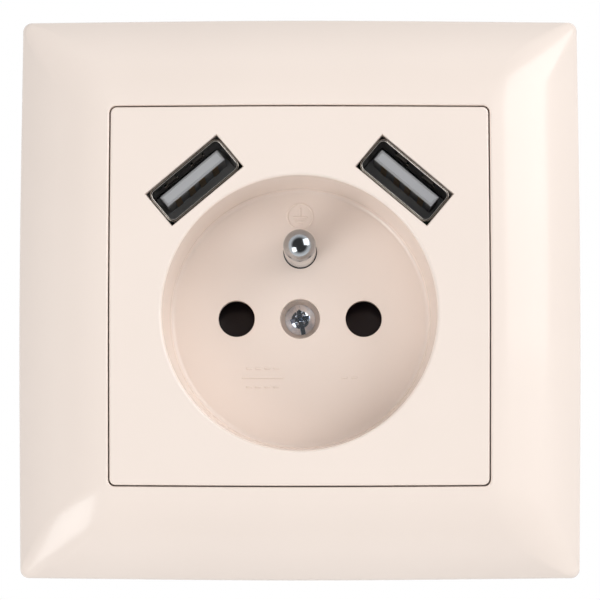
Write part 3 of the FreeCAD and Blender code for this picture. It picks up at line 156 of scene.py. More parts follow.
def blank_material(name: str) -> tuple[Material, NodeTree, Node, NodeSocket]:
    """Start a node material.

    Args:
        name: The finish's name.

    Returns:
        The material, its tree, its main shader and the place on the piece.
    """
    material = bpy.data.materials.new(name)
    material.use_nodes = True
    tree = material.node_tree
    place = add_node(tree, "ShaderNodeTexCoord").outputs["Object"]
    return material, tree, tree.nodes["Principled BSDF"], place


def noise(tree: NodeTree, place: NodeSocket, size: float, detail: float) -> NodeSocket:
    """Noise whose features have a size in mm."""
    links = {"Vector": place, "Scale": 1 / (size * MM), "Detail": detail}
    return add_node(tree, "ShaderNodeTexNoise", links=links).outputs["Fac"]


def mottle(tree: NodeTree, place: NodeSocket, size: float, colours: tuple[str, str],
           roughness: tuple[float, float]) -> None:
    """Let the main shader drift between two colours and two roughnesses.

    Args:
        tree: The material's tree.
        place: The place on the piece.
        size: Size of the clouds in mm.
        colours: Both ends of the colour.
        roughness: Both ends of the roughness.
    """
    cloud = noise(tree, place, size, 3.0)
    colour = add_node(tree, "ShaderNodeValToRGB", links={"Fac": cloud})
    set_ramp(colour, [(level, linear(end)) for level, end in zip(COLOUR_SPAN, colours)])
    gloss = add_node(tree, "ShaderNodeMapRange", links={
        "Value": cloud, "From Min": GLOSS_SPAN[0], "From Max": GLOSS_SPAN[1],
        "To Min": roughness[0], "To Max": roughness[1]})
    shader = tree.nodes["Principled BSDF"]
    tree.links.new(colour.outputs["Color"], shader.inputs["Base Color"])
    tree.links.new(gloss.outputs["Result"], shader.inputs["Roughness"])


def relief(tree: NodeTree, height: NodeSocket, depth: float, strength: float,
           below: NodeSocket | None = None) -> NodeSocket:
    """Turn a height into relief.

    Args:
        tree: The material's tree.
        height: The height, from none to one.
        depth: Depth of the relief in mm.
        strength: How much of it shows.
        below: Another relief that this one lies on.

    Returns:
        The direction of the skin.
    """
    links = {"Height": height, "Distance": depth * MM, "Strength": strength}
    if below:
        links["Normal"] = below
    return add_node(tree, "ShaderNodeBump", links=links).outputs["Normal"]


@dataclass(frozen=True)
class Moulding:
    """Moulded plastic: an even colour with a faint cloud, and a skin with fine waves. Sizes in mm."""

    name: str
    colour: str
    cloud_colour: str
    roughness: float
    roughness_spread: float = 0.05
    ior: float = 1.49
    coat: float = 0.0
    coat_roughness: float = 0.06
    cloud: float = 22.0
    wave: float = 5.0
    wave_height: float = 0.002
    grain: float = 0.35
    grain_height: float = 0.002
    grain_strength: float = 0.5
    soft_edge: float = 0.0

    def material(self) -> Material:
        """Build the material."""
        material, tree, shader, place = blank_material(self.name)
        mottle(tree, place, self.cloud, (self.colour, self.cloud_colour),
               (self.roughness, self.roughness + self.roughness_spread))
        skin = None
        if self.soft_edge:
            edge = add_node(tree, "ShaderNodeBevel", {"samples": 4}, {"Radius": self.soft_edge * MM})
            skin = edge.outputs["Normal"]
        skin = relief(tree, noise(tree, place, self.wave, 1.0), self.wave_height, 1.0, skin)
        grain = noise(tree, place, self.grain, 2.0)
        skin = relief(tree, grain, self.grain_height, self.grain_strength, skin)
        tree.links.new(skin, shader.inputs["Normal"])
        shader.inputs["IOR"].default_value = self.ior
        shader.inputs["Coat Weight"].default_value = self.coat
        shader.inputs["Coat Roughness"].default_value = self.coat_roughness
        return material


@dataclass(frozen=True)
class Plating:
    """Metal whose tint drifts a little and whose skin has fine lines, plated or rolled. Sizes in mm."""

    name: str
    colour: str
    drift_colour: str
    roughness: float
    roughness_spread: float = 0.08
    drift: float = 6.0
    line: float = 0.12
    line_stretch: float = 12.0
    line_height: float = 0.002
    line_strength: float = 0.6

    def material(self) -> Material:
        """Build the material."""
        material, tree, shader, place = blank_material(self.name)
        mottle(tree, place, self.drift, (self.colour, self.drift_colour),
               (self.roughness, self.roughness + self.roughness_spread))
        stretched = add_node(tree, "ShaderNodeMapping", links={
            "Vector": place, "Scale": (1.0, 1 / self.line_stretch, 1.0)})
        lines = noise(tree, stretched.outputs["Vector"], self.line, 2.0)
        skin = relief(tree, lines, self.line_height, self.line_strength)
        tree.links.new(skin, shader.inputs["Normal"])
        shader.inputs["Metallic"].default_value = 1.0
        return material


@dataclass(frozen=True)
class BoardLaminate:
    """Laminate under solder mask, with copper tracks that show through as lighter lines. Sizes in mm."""

    name: str
    mask_colour: str
    track_colour: str
    cell: float = 4.2
    track_height: float = 0.02
    track_strength: float = 0.4
    track_edge: float = 0.10
    mask_edge: float = 0.14
    roughness: float = 0.35

    def material(self) -> Material:
        """Build the material."""
        material, tree, shader, place = blank_material(self.name)
        cells = add_node(tree, "ShaderNodeTexVoronoi", {"feature": "DISTANCE_TO_EDGE"},
                         {"Vector": place, "Scale": 1 / (self.cell * MM)}).outputs["Distance"]
        colour = add_node(tree, "ShaderNodeValToRGB", links={"Fac": cells})
        set_ramp(colour, ((self.track_edge, linear(self.track_colour)),
                          (self.mask_edge, linear(self.mask_colour))))
        tree.links.new(colour.outputs["Color"], shader.inputs["Base Color"])
        skin = relief(tree, cells, self.track_height, self.track_strength)
        tree.links.new(skin, shader.inputs["Normal"])
        shader.inputs["Roughness"].default_value = self.roughness
        return material


# Glossy ABS or PC, mould polished: the eye sees soft highlights and almost no grain.
CREAM_GLOSS = Moulding("polished_cream_abs", "#FAECE2", "#F8EAE0", 0.205, coat=0.2)
# Glass-filled nylon insert: matt and slightly cloudy, with a fine spark-eroded grain and soft edges.
INSERT_GREY = Moulding("grey_nylon", "#7C7D7F", "#737476", 0.5, grain=0.5, grain_height=0.01, soft_edge=0.4)
# Charger housing: the same grain in a pale, slightly grey white.
HOUSING_WHITE = Moulding("off_white_pc", "#DCDAD5", "#D5D3CE", 0.45, grain=0.5, grain_height=0.008,
                         soft_edge=0.4)
# Slippery acetal slide: nearly black brown with a faint gloss on its ramps.
SHUTTER_BROWN = Moulding("dark_brown_pom", "#21171A", "#1A1214", 0.34)
# Liquid crystal polymer of the ports' tongues: plain, pale and matt.
PORT_GREY = Moulding("light_grey_lcp", "#ABACAE", "#A3A4A7", 0.45)
# Tape round the winding: yellow and glossy, with wrinkles.
TAPE_YELLOW = Moulding("yellow_polyester_tape", "#D9B23C", "#CFA633", 0.3, wave=2.0, wave_height=0.02)
# Sintered core: dull black grey with a coarse grain.
FERRITE_GREY = Moulding("sintered_ferrite", "#2A2A2C", "#202022", 0.6, grain_height=0.02)
# Moulded chip case: black and dull.
CHIP_BLACK = Moulding("black_epoxy", "#17171A", "#101013", 0.55)
# Bright zinc: bluish grey and a little cloudy.
ZINC = Plating("blue_zinc_plate", "#D6DDE6", "#C2CBD8", 0.17, 0.09)
# The same plating on the stamped head, but painted brighter and whiter than ZINC as a painted highlight for
# the head's bright reflections; its cloud gives brighter patches between darker ones at random.
SCREW_ZINC = Plating("zinc_plate_painted_bright", "#F0F5FC", "#C6D1E0", 0.09, 0.1, drift=1.2, line_height=0.003)
# Polished nickel over brass: nearly a mirror, in a neutral grey.
NICKEL = Plating("polished_nickel", "#BCC0C4", "#AAAFB4", 0.1, 0.06, line_height=0.0008)
# The port shells' thin nickel: a little warmer and less even.
SHELL_STEEL = Plating("nickel_plated_shell", "#C9C3BB", "#BDB6AD", 0.14, 0.06)
# Bare rolled brass: warm yellow with a soft sheen along the strip.
BRASS = Plating("rolled_brass", "#C9A45A", "#BE984E", 0.3)
# Thin gold on the ports' contacts: redder and darker than the brass.
GOLD = Plating("thin_gold_plate", "#C7A56A", "#B08E55", 0.3)
# Drawn wire: plain grey with draw lines.
SPRING_STEEL = Plating("drawn_spring_wire", "#B5B6B8", "#A4A5A8", 0.3)
# Capacitor cans: pale, soft metal.
CAN_ALUMINIUM = Plating("drawn_aluminium_can", "#C4C6C9", "#B8BABE", 0.3)
# Circuit boards: dark green with lighter tracks.
BOARD_GREEN = BoardLaminate("green_solder_mask", "#12402A", "#1C5A3A")

Finish = Moulding | Plating | BoardLaminate


@cache
def made(finish: Finish) -> Material:
    """The material of a finish, built once."""
    return finish.material()


def dress(piece: Object, finish: Finish) -> None:
    """Put a finish on every material slot of a piece.

    Args:
        piece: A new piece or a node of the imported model.
        finish: The finish to wear.
    """
    if not piece.material_slots:
        piece.data.materials.append(made(finish))
    for slot in piece.material_slots:
        slot.material = made(finish)


# Modelling


def nothing_selected() -> None:
    """Leave edit mode and deselect every object."""
    if bpy.context.object and bpy.context.object.mode != "OBJECT":
        bpy.ops.object.mode_set(mode="OBJECT")
    bpy.ops.object.select_all(action="DESELECT")


def only(piece: Object) -> None:
    """Make one piece the selected and active one."""
    nothing_selected()
    piece.select_set(True)
    bpy.context.view_layer.objects.active = piece


def take_all() -> None:
    """Select all of the mesh that is being edited."""
    bpy.ops.mesh.select_all(action="SELECT")


def joined(pieces: Sequence[Object]) -> Object:
    """Join pieces into the first one, one at a time, so that their vertices keep the pieces' order."""
    for piece in pieces[1:]:
        only(piece)
        pieces[0].select_set(True)
        bpy.context.view_layer.objects.active = pieces[0]
        bpy.ops.object.join()
    return pieces[0]


def applied(piece: Object, kind: str, **settings: object) -> None:
    """Add a modifier with its settings and apply it.

    Args:
        piece: The piece that is changed.
        kind: Blender's name for the modifier type.
        settings: Attributes of the modifier.
    """
    only(piece)
    modifier = piece.modifiers.new(kind.lower(), kind)
    for name, value in settings.items():
        setattr(modifier, name, value)
    bpy.ops.object.modifier_apply(modifier=modifier.name)


def combined(piece: Object, tool: Object, cut: Cut) -> None:
    """Cut a tool away from a piece or join it on, and delete the tool.

    Args:
        piece: The piece that is changed.
        tool: A closed shape.
        cut: Away or joined.
    """
    applied(piece, "BOOLEAN", object=tool, operation=cut.value, solver="EXACT")
    bpy.data.objects.remove(tool, do_unlink=True)
    applied(piece, "WELD", merge_threshold=MERGE * MM)


@contextmanager
def editing(piece: Object, kind: str = "VERT", keep: Callable[[object], bool] | None = None
            ) -> Iterator[None]:
    """Edit mode on one piece, with all of it selected or only what passes a test.

    Args:
        piece: The piece.
        kind: What is selected: VERT, EDGE or FACE.
        keep: Says whether one vertex, edge or face is selected. Without it, all are.
    """
    only(piece)
    bpy.ops.object.mode_set(mode="EDIT")
    bpy.ops.mesh.select_mode(type=kind)
    bpy.ops.mesh.select_all(action="DESELECT" if keep else "SELECT")
    if keep:
        bpy.ops.object.mode_set(mode="OBJECT")
        data = piece.data
        for element in {"VERT": data.vertices, "EDGE": data.edges, "FACE": data.polygons}[kind]:
            element.select = keep(element)
        bpy.ops.object.mode_set(mode="EDIT")
    yield
    bpy.ops.object.mode_set(mode="OBJECT")


@dataclass(frozen=True)
class Ring:
    """One square section of a moulding: half width, height off the wall, corner radius and bow in mm."""

    half: float
    height: float
    corner: float
    bow: float = 0.0


def square_ring(ring: Ring, corner_steps: int, side_cuts: int) -> Object:
    """Model one closed loop of edges: a plane with rounded corners and sides that bow outwards.

    Args:
        ring: Its sizes.
        corner_steps: Edges in each corner.
        side_cuts: Cuts in each side.

    Returns:
        The loop.
    """
    share = ring.bow / (ring.half * (1 - 1 / sqrt(2)))
    flat = ring.half * (1 - share / sqrt(2)) / (1 - share)
    nothing_selected()
    bpy.ops.mesh.primitive_plane_add(size=2 * flat * MM, location=(0, 0, 0))
    loop = bpy.context.object
    with editing(loop):
        bpy.ops.mesh.bevel(affect="VERTICES", offset=ring.corner * MM, segments=corner_steps,
                           clamp_overlap=False)
        take_all()
        bpy.ops.mesh.delete(type="ONLY_FACE")
    longest = max(edge_run(loop, edge).length for edge in loop.data.edges)
    with editing(loop, "EDGE", lambda edge: edge_run(loop, edge).length > longest * NEARLY):
        bpy.ops.mesh.subdivide(number_cuts=side_cuts)
        take_all()
        bpy.ops.transform.translate(value=(0, 0, ring.height * MM))
    if ring.bow:
        applied(loop, "CAST", cast_type="CYLINDER", factor=share, size=ring.half * MM, radius=0.0,
                use_radius_as_size=False)
    return loop


def edge_run(piece: Object, edge: MeshEdge) -> Vector:
    """Way from one end of an edge of a piece to the other."""
    start, end = (piece.data.vertices[index].co for index in edge.vertices)
    return end - start


def lofted(name: str, rings: Sequence[Ring], corner_steps: int, side_cuts: int, closed: bool = False
           ) -> Object:
    """Bridge square sections one to the next.

    Args:
        name: Name of the piece.
        rings: The sections in order.
        corner_steps: Edges in each corner.
        side_cuts: Cuts in each side.
        closed: True to bridge the last section to the first, False to fill both ends.

    Returns:
        The closed shell.
    """
    loops = [square_ring(ring, corner_steps, side_cuts) for ring in rings]
    count = len(loops[0].data.vertices)
    piece = joined(loops)
    piece.name = name
    last = len(rings) - 1
    pairs = [(number, number + 1) for number in range(last)]
    for pair in pairs + [(last, 0)] if closed else pairs:
        with editing(piece, "VERT", lambda vertex: vertex.index // count in pair):
            bpy.ops.mesh.select_mode(type="EDGE")
            bpy.ops.mesh.bridge_edge_loops()
    for end in () if closed else (0, last):
        with editing(piece, "VERT", lambda vertex: vertex.index // count == end):
            bpy.ops.mesh.select_mode(type="EDGE")
            bpy.ops.mesh.edge_face_add()
    with editing(piece):
        bpy.ops.mesh.normals_make_consistent(inside=False)
    return piece


def block(low: Sequence[float], high: Sequence[float], flare: float = 0.0) -> Object:
    """Model a box between two corners in mm, whose top may flare outwards.

    Args:
        low: Lowest corner.
        high: Highest corner.
        flare: How far each side of the top leans out.

    Returns:
        The box.
    """
    nothing_selected()
    middle = [(a + b) / 2 * MM for a, b in zip(low, high)]
    bpy.ops.mesh.primitive_cube_add(size=MM, location=middle)
    box = bpy.context.object
    with editing(box):
        bpy.ops.transform.resize(value=[b - a for a, b in zip(low, high)])
    settled(box)
    if flare:
        with editing(box, "VERT", lambda vertex: vertex.co.z > middle[2]):
            bpy.ops.transform.resize(value=((high[0] - low[0] + 2 * flare) / (high[0] - low[0]),
                                            (high[1] - low[1] + 2 * flare) / (high[1] - low[1]), 1))
    return box


def settled(piece: Object) -> None:
    """Move a piece's place, turn and size into its mesh."""
    only(piece)
    bpy.ops.object.transform_apply(location=True, rotation=True, scale=True)


def arc_points(centre: tuple[float, float], radius: float, start: float, end: float, steps: int
               ) -> list[tuple[float, float]]:
    """Points on an arc of a profile, both ends included.

    Args:
        centre: Radius and height of the arc's centre.
        radius: Radius of the arc.
        start: First angle in degrees, counted from outwards to upwards.
        end: Last angle.
        steps: Number of edges.

    Returns:
        Radius and height of each point.
    """
    angles = [radians(start + (end - start) * step / steps) for step in range(steps + 1)]
    return [(centre[0] + radius * cos(angle), centre[1] + radius * sin(angle)) for angle in angles]


def spun(name: str, profile: Sequence[tuple[float, float]], x: float = 0.0, y: float = 0.0,
         steps: int = HOLE_STEPS) -> Object:
    """Spin a profile of radius and height, in mm, about a line that stands on the wall.

    Args:
        name: Name of the piece.
        profile: Corners from the axis round to the axis.
        x: Place of the axis.
        y: Place of the axis.
        steps: Edges round the axis.

    Returns:
        The closed shell.
    """
    nothing_selected()
    bpy.ops.mesh.primitive_plane_add(size=MM, location=(0, 0, 0))
    piece = bpy.context.object
    piece.name = name
    with editing(piece):
        bpy.ops.mesh.merge(type="CENTER")
        take_all()
        here = profile[0]
        bpy.ops.transform.translate(value=(here[0] * MM, 0, here[1] * MM))
        for corner in profile[1:]:
            step = ((corner[0] - here[0]) * MM, 0, (corner[1] - here[1]) * MM)
            bpy.ops.mesh.extrude_region_move(TRANSFORM_OT_translate={"value": step})
            here = corner
        take_all()
        bpy.ops.mesh.spin(steps=steps, angle=2 * pi, center=(0, 0, 0), axis=(0, 0, 1))
        take_all()
        bpy.ops.mesh.remove_doubles(threshold=1e-7)
        take_all()
        bpy.ops.transform.translate(value=(x * MM, y * MM, 0))
        bpy.ops.mesh.normals_make_consistent(inside=False)
    return piece


def drum(radius: float, top: float, bottom: float, x: float, y: float) -> Object:
    """Plain round bar between two heights."""
    return spun("drum", [(0, top), (radius, top), (radius, bottom), (0, bottom)], x, y)


def turned_and_moved(piece: Object, angle: float, x: float = 0.0, y: float = 0.0) -> None:
    """Turn a piece about the line out of the wall and move it, in degrees and mm.

    Args:
        piece: A piece modelled at the origin.
        angle: Turn, anticlockwise to the user.
        x: Move to the right.
        y: Move up.
    """
    only(piece)
    piece.matrix_world = Matrix.Translation((x * MM, y * MM, 0)) @ Matrix.Rotation(radians(angle), 4, "Z")
    settled(piece)


def finished(piece: Object, finish: Finish) -> None:
    """Shade a piece with its flats kept flat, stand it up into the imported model's frame and dress it.

    Args:
        piece: A piece modelled lying on the wall.
        finish: The finish to wear.
    """
    only(piece)
    bpy.ops.object.shade_smooth_by_angle(angle=SMOOTH_ANGLE)
    applied(piece, "WEIGHTED_NORMAL", keep_sharp=True, weight=FLAT_WEIGHT)
    piece.rotation_euler = (pi / 2, 0, 0)
    settled(piece)
    dress(piece, finish)


def with_rounded_edges(piece: Object, width: float, steps: int) -> None:
    """Round the sharp edges of a piece by a width in mm."""
    applied(piece, "BEVEL", width=width * MM, segments=steps, limit_method="ANGLE", angle_limit=SHARP_ANGLE)


def size_mm(node: str) -> tuple[Vector, Vector]:
    """Corners of a node's box in mm, as x, height up the wall and height off the wall."""
    low, high = (Vector(corner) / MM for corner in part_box(node))
    return Vector((low.x, low.z, -high.y)), Vector((high.x, high.z, -low.y))


def bent(start: float, middle: float, end: float, share: float) -> float:
    """Value at a share of a curve that leaves the start and meets the end in the middle's direction."""
    return (1 - share) ** 2 * start + 2 * share * (1 - share) * middle + share ** 2 * end


@dataclass(frozen=True)
class Layout:
    """Places that several pieces share, in mm and degrees."""

    recess_y: float = -2.5
    floor: float = -4.6
    well_floor: float = -8.0
    earth_y: float = 7.5
    port_x: float = 15.3
    port_y: float = 16.8
    port_tilt: float = 40.0

    def to_port(self, piece: Object, side: Side) -> None:
        """Tilt a piece modelled at the origin and move it to one of the ports."""
        turned_and_moved(piece, -side.value * self.port_tilt, side.value * self.port_x, self.port_y)


LAYOUT = Layout()


@dataclass
class CoverFrame:
    """Domed outer frame in one moulding, with its ledge, skirt, ribs and screw notches. Sizes in mm."""

    opening_half: float = 27.7
    bow: float = 0.35
    opening_bow: float = 0.12
    side_wall: float = 2.5
    wall: float = 1.8
    outer_slope: float = 52.0
    inner_slope: float = 8.0
    lip_land: float = 0.4
    lip_round: float = 0.3
    foot_chamfer: float = 0.15
    foot_round: float = 0.5
    corner: float = 1.3
    opening_corner: float = 1.0
    mitre_swell: float = 3.4
    dome_start: float = 1 / 30
    dome_steps: int = 16
    hollow_shares: tuple[float, ...] = (0.9, 0.6, 0.35)
    ledge_width: float = 1.5
    ledge_height: float = 7.6
    ledge: float = 1.4
    skirt: float = 1.6
    skirt_foot: float = 1.0
    draft: float = 0.02
    rib: float = 1.2
    rib_offset: float = 14.0
    rib_foot: float = 1.3
    rib_overlap: float = 0.4
    rib_roof_overlap: float = 0.5
    notch_half: float = 7.0
    notch_top: float = 4.6

    def build(self) -> Object:
        """Model the frame and dress it.

        Returns:
            The new piece.
        """
        high = size_mm("cover_frame")[1]
        self.half = high.x - self.bow
        self.height = high.z
        piece = lofted("smooth_cover_frame", self.sections(), corner_steps=12, side_cuts=24, closed=True)
        self.cut_notches(piece)
        piece = joined([piece] + self.ribs())
        finished(piece, CREAM_GLOSS)
        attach(piece, "socket")
        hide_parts("cover_frame")
        return piece

    def dome(self, share: float) -> tuple[float, float, float]:
        """Find a point of the domed side.

        Args:
            share: Where it is across the side, from the outside to the opening.

        Returns:
            Half width, height and slope.
        """
        rise = self.height - self.side_wall - self.draft
        run = self.half - self.opening_half - self.lip_land
        steep, flat = radians(self.outer_slope), radians(self.inner_slope)
        slope = steep + (flat - steep) * share
        across = (sin(steep) - sin(slope)) / (sin(steep) - sin(flat)) * run
        up = (cos(slope) - cos(steep)) / (cos(flat) - cos(steep)) * rise
        return self.half - across, self.side_wall + up, slope

    def dome_ring(self, share: float) -> Ring:
        """Lay out a section of the domed side.

        Args:
            share: Where it is across the side.

        Returns:
            The section.
        """
        half, height, _ = self.dome(share)
        swell = 4 * self.mitre_swell * share * (1 - share)
        corner = self.corner + (self.opening_corner - self.corner) * share + swell
        return Ring(half, height, corner, self.bow + (self.opening_bow - self.bow) * share)

    def sections(self) -> list[Ring]:
        """Lay out the frame's skin.

        Returns:
            All sections, from the outer foot over the dome and round through the hollow.
        """
        rings = [Ring(self.half - self.foot_chamfer, 0.0, self.corner, self.bow),
                 Ring(self.half, self.foot_chamfer, self.corner, self.bow)]
        first = self.dome_ring(self.dome_start)
        for step in range(SMALL_ROUND + 1):
            share = step / SMALL_ROUND
            rings.append(Ring(bent(self.half, self.half, first.half, share),
                              bent(self.side_wall - self.foot_round, self.side_wall, first.height, share),
                              self.corner + (first.corner - self.corner) * share, self.bow))
        rings += [self.dome_ring(step / self.dome_steps) for step in range(1, self.dome_steps + 1)]
        lip_centre = (self.opening_half + self.lip_round, self.height - self.lip_round)
        for half, height in arc_points(lip_centre, self.lip_round, 90, 180, SMALL_ROUND):
            corner = self.opening_corner + half - self.opening_half
            rings.append(Ring(half, height, corner, self.opening_bow))
        opening, inner = self.opening_half, self.opening_half - self.ledge_width
        behind = self.ledge_height - self.ledge
        for half, height in ((opening, self.ledge_height), (inner, self.ledge_height - self.draft),
                             (inner, behind + self.draft), (opening, behind), (opening, self.skirt_foot),
                             (opening + self.skirt, self.skirt_foot + self.draft)):
            rings.append(Ring(half, height, self.opening_corner, self.opening_bow if half > inner else 0.0))
        for share in self.hollow_shares:
            half, height, slope = self.dome(share)
            rings.append(Ring(max(half - self.wall * sin(slope), self.opening_half + self.skirt),
                              height - self.wall * cos(slope), self.corner))
        inner = self.half - self.wall
        return rings + [Ring(inner, self.side_wall, self.corner), Ring(inner, self.draft, self.corner)]

    def ribs(self) -> list[Object]:
        """Model two ribs across the hollow on each side, with tops that follow the skin.

        Returns:
            The ribs.
        """
        inner = self.opening_half + self.skirt - self.rib_overlap
        outer = self.half - self.wall + self.rib_overlap
        roof = self.dome(self.hollow_shares[0])[1] - self.wall + self.rib_roof_overlap
        eave = self.side_wall + self.rib_overlap
        half = self.rib / 2
        ribs = []
        for offset in (-self.rib_offset, self.rib_offset):
            for turn in range(4):
                rib = block((inner, offset - half, self.rib_foot), (outer, offset + half, roof))
                with editing(rib, "VERT", lambda vertex: vertex.co.x > (outer - half) * MM
                             and vertex.co.z > (roof - half) * MM):
                    bpy.ops.transform.translate(value=(0, 0, (eave - roof) * MM))
                turned_and_moved(rib, 90 * turn)
                ribs.append(rib)
        return ribs

    def cut_notches(self, piece: Object) -> None:
        """Cut the four notches that leave room for the wall screws.

        Args:
            piece: The frame.
        """
        for turn in range(4):
            notch = block((self.opening_half - OVERRUN, -self.notch_half, self.skirt_foot - OVERRUN),
                          (self.opening_half + self.skirt + OVERRUN, self.notch_half, self.notch_top))
            turned_and_moved(notch, 90 * turn)
            combined(piece, notch, Cut.AWAY)


@dataclass(frozen=True)
class SignRow:
    """Row of equal raised bars: place of the first, width, number and spacing in mm."""

    x: float
    y: float
    width: float
    count: int = 1
    spacing: float = 0.0


@dataclass
class CentrePlate:
    """Centre plate and plug recess in one moulding, with raised signs. Sizes in mm."""

    half: float = 27.5
    bow: float = 0.12
    corner: float = 0.9
    edge_round: float = 0.25
    edge: float = 2.8
    skin: float = 2.2
    rim: float = 1.6
    recess_radius: float = 20.0
    recess_draft: float = 0.6
    recess_wall: float = 1.3
    recess_steps: int = 192
    cup_steps: int = 144
    mouth_round: float = 0.5
    foot_round: float = 0.8
    floor_back: float = -6.6
    pin_x: float = 9.5
    pin_radius: float = 2.7
    hole_round: float = 0.2
    hole_round_steps: int = 4
    crossing: float = 0.03
    well_radius: float = 2.95
    well_wall: float = 1.1
    well_back: float = -9.6
    screw_hole: float = 1.7
    earth_hole: float = 2.8
    earth_mouth: float = 2.52
    earth_lip: float = 0.5
    window: tuple[float, float] = (13.46, 6.01)
    window_lead: float = 0.25
    window_flare: float = 0.24
    shaft_drop: float = 0.1
    relief: float = 0.14
    sign_sink: float = 0.1
    sign_round: float = 0.09
    sign_line: float = 0.32
    earth_sign_rise: float = 5.35
    earth_sign_radius: float = 2.05
    earth_sign_stem: float = 1.3
    earth_sign_bars: tuple[float, ...] = (2.2, 1.5, 0.8)
    earth_sign_drop: float = 0.15
    earth_sign_step: float = 0.52
    earth_sign_thin: float = 0.8
    supply_rows: tuple[SignRow, ...] = (
        SignRow(-5.6, -11.3, 6.2), SignRow(-7.6, -9.9, 0.9, 4, 1.35), SignRow(-7.6, -12.7, 0.9, 4, 1.35),
        SignRow(6.6, -11.3, 0.9, 2, 1.5))

    def build(self) -> Object:
        """Model the plate and dress it.

        Returns:
            The new piece.
        """
        self.face = size_mm("centre_plate")[1].z
        piece = self.slab()
        hollow = [Ring(self.half - self.rim, height, self.corner)
                  for height in (self.face - self.skin, -OVERRUN)]
        combined(piece, lofted("hollow", hollow, corner_steps=6, side_cuts=4), Cut.AWAY)
        combined(piece, self.cup(), Cut.JOINED)
        combined(piece, self.recess(), Cut.AWAY)
        above, behind, through = LAYOUT.floor + OVERRUN, self.floor_back - OVERRUN, self.well_back - OVERRUN
        axis = (0, LAYOUT.recess_y)
        earth = (0, LAYOUT.earth_y)
        boss = self.well_radius + self.well_wall
        combined(piece, drum(boss, self.floor_back + OVERRUN, self.well_back, *axis), Cut.JOINED)
        combined(piece, self.hole(self.well_radius, LAYOUT.well_floor, 0), Cut.AWAY)
        combined(piece, drum(self.screw_hole, above, through, *axis), Cut.AWAY)
        for x in (-self.pin_x, self.pin_x):
            combined(piece, self.hole(self.pin_radius, behind, x), Cut.AWAY)
        combined(piece, drum(self.earth_mouth, above, through, *earth), Cut.AWAY)
        combined(piece, drum(self.earth_hole, LAYOUT.floor - self.earth_lip, behind, *earth), Cut.AWAY)
        for side in Side:
            combined(piece, self.port_window(side), Cut.AWAY)
        self.crease_face(piece)
        piece = joined([piece] + self.earth_sign() + self.supply_signs())
        finished(piece, CREAM_GLOSS)
        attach(piece, "socket")
        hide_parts("centre_plate")
        return piece

    def crease_face(self, piece: Object) -> None:
        """Drop slivers that the cuts left and mark the flat face's edges sharp, so that it is shaded flat.

        Args:
            piece: The plate with all its holes.
        """
        with editing(piece):
            bpy.ops.mesh.dissolve_degenerate(threshold=MERGE * MM)
        with editing(piece, "FACE", lambda polygon: polygon.normal.z > FACES_OUT
                     and abs(polygon.center.z / MM - self.face) < LEVEL):
            bpy.ops.mesh.region_to_loop()
            bpy.ops.mesh.mark_sharp()

    def slab(self) -> Object:
        """Model the plate's outline with its rounded front edge.

        Returns:
            The slab.
        """
        rings = [Ring(self.half, self.face - self.edge, self.corner, self.bow)]
        centre = (self.half - self.edge_round, self.face - self.edge_round)
        for half, height in arc_points(centre, self.edge_round, 0, 90, SMALL_ROUND):
            rings.append(Ring(half, height, self.corner + half - self.half, self.bow))
        return lofted("smooth_centre_plate", rings, corner_steps=8, side_cuts=16)

    def cup(self) -> Object:
        """Model the outside of the recess wall and floor.

        Returns:
            The cup, which starts within the plate's skin.
        """
        outer = self.recess_radius + self.recess_wall
        top = self.face - self.skin / 2
        centre = (outer - self.foot_round, self.floor_back + self.foot_round)
        profile = [(0, top), (outer, top)] + arc_points(centre, self.foot_round, 0, -90, SMALL_ROUND)
        return spun("cup", profile + [(0, self.floor_back)], 0, LAYOUT.recess_y, self.cup_steps)

    def recess(self) -> Object:
        """Model what the plug recess removes.

        Returns:
            A drafted well with a rounded mouth and foot.
        """
        mouth = self.recess_radius + self.mouth_round
        foot = self.recess_radius - self.recess_draft - self.foot_round
        profile = [(0, self.face + OVERRUN), (mouth, self.face + OVERRUN)]
        profile += arc_points((mouth, self.face - self.mouth_round), self.mouth_round, 90, 180, ROUND)
        profile += arc_points((foot, LAYOUT.floor + self.foot_round), self.foot_round, 0, -90, ROUND)
        return spun("recess", profile + [(0, LAYOUT.floor)], 0, LAYOUT.recess_y, self.recess_steps)

    def hole(self, radius: float, bottom: float, x: float) -> Object:
        """Model the tool for a round hole in the recess floor, with a small round at its mouth.

        Args:
            radius: Radius of the hole.
            bottom: Height of its bottom.
            x: Place of its axis.

        Returns:
            The tool.
        """
        mouth = radius + self.hole_round
        centre = (mouth, LAYOUT.floor - self.hole_round + self.crossing)
        profile = [(0, LAYOUT.floor + OVERRUN), (mouth, LAYOUT.floor + OVERRUN)]
        profile += arc_points(centre, self.hole_round, 90, 180, self.hole_round_steps)
        return spun("hole", profile + [(radius, bottom), (0, bottom)], x, LAYOUT.recess_y)

    def port_window(self, side: Side) -> Object:
        """Model the tool for one tilted port opening, with a slight lead-in at the face.

        Args:
            side: Which port.

        Returns:
            The tool.
        """
        x, y = self.window[0] / 2, self.window[1] / 2
        shaft = block((-x, -y, 0), (x, y, self.face - self.shaft_drop))
        low, high = self.face - self.window_lead, self.face + self.window_lead
        lead = block((-x, -y, low), (x, y, high), self.window_flare)
        combined(shaft, lead, Cut.JOINED)
        LAYOUT.to_port(shaft, side)
        return shaft

    def stroke(self, x: float, y: float, width: float, height: float) -> Object:
        """Model one raised bar on the recess floor.

        Args:
            x: Place of its middle.
            y: Place of its middle.
            width: Size across.
            height: Size up the wall.

        Returns:
            The bar.
        """
        bar = block((x - width / 2, y - height / 2, LAYOUT.floor - self.sign_sink),
                    (x + width / 2, y + height / 2, LAYOUT.floor + self.relief))
        applied(bar, "BEVEL", width=self.sign_round * MM, segments=3)
        return bar

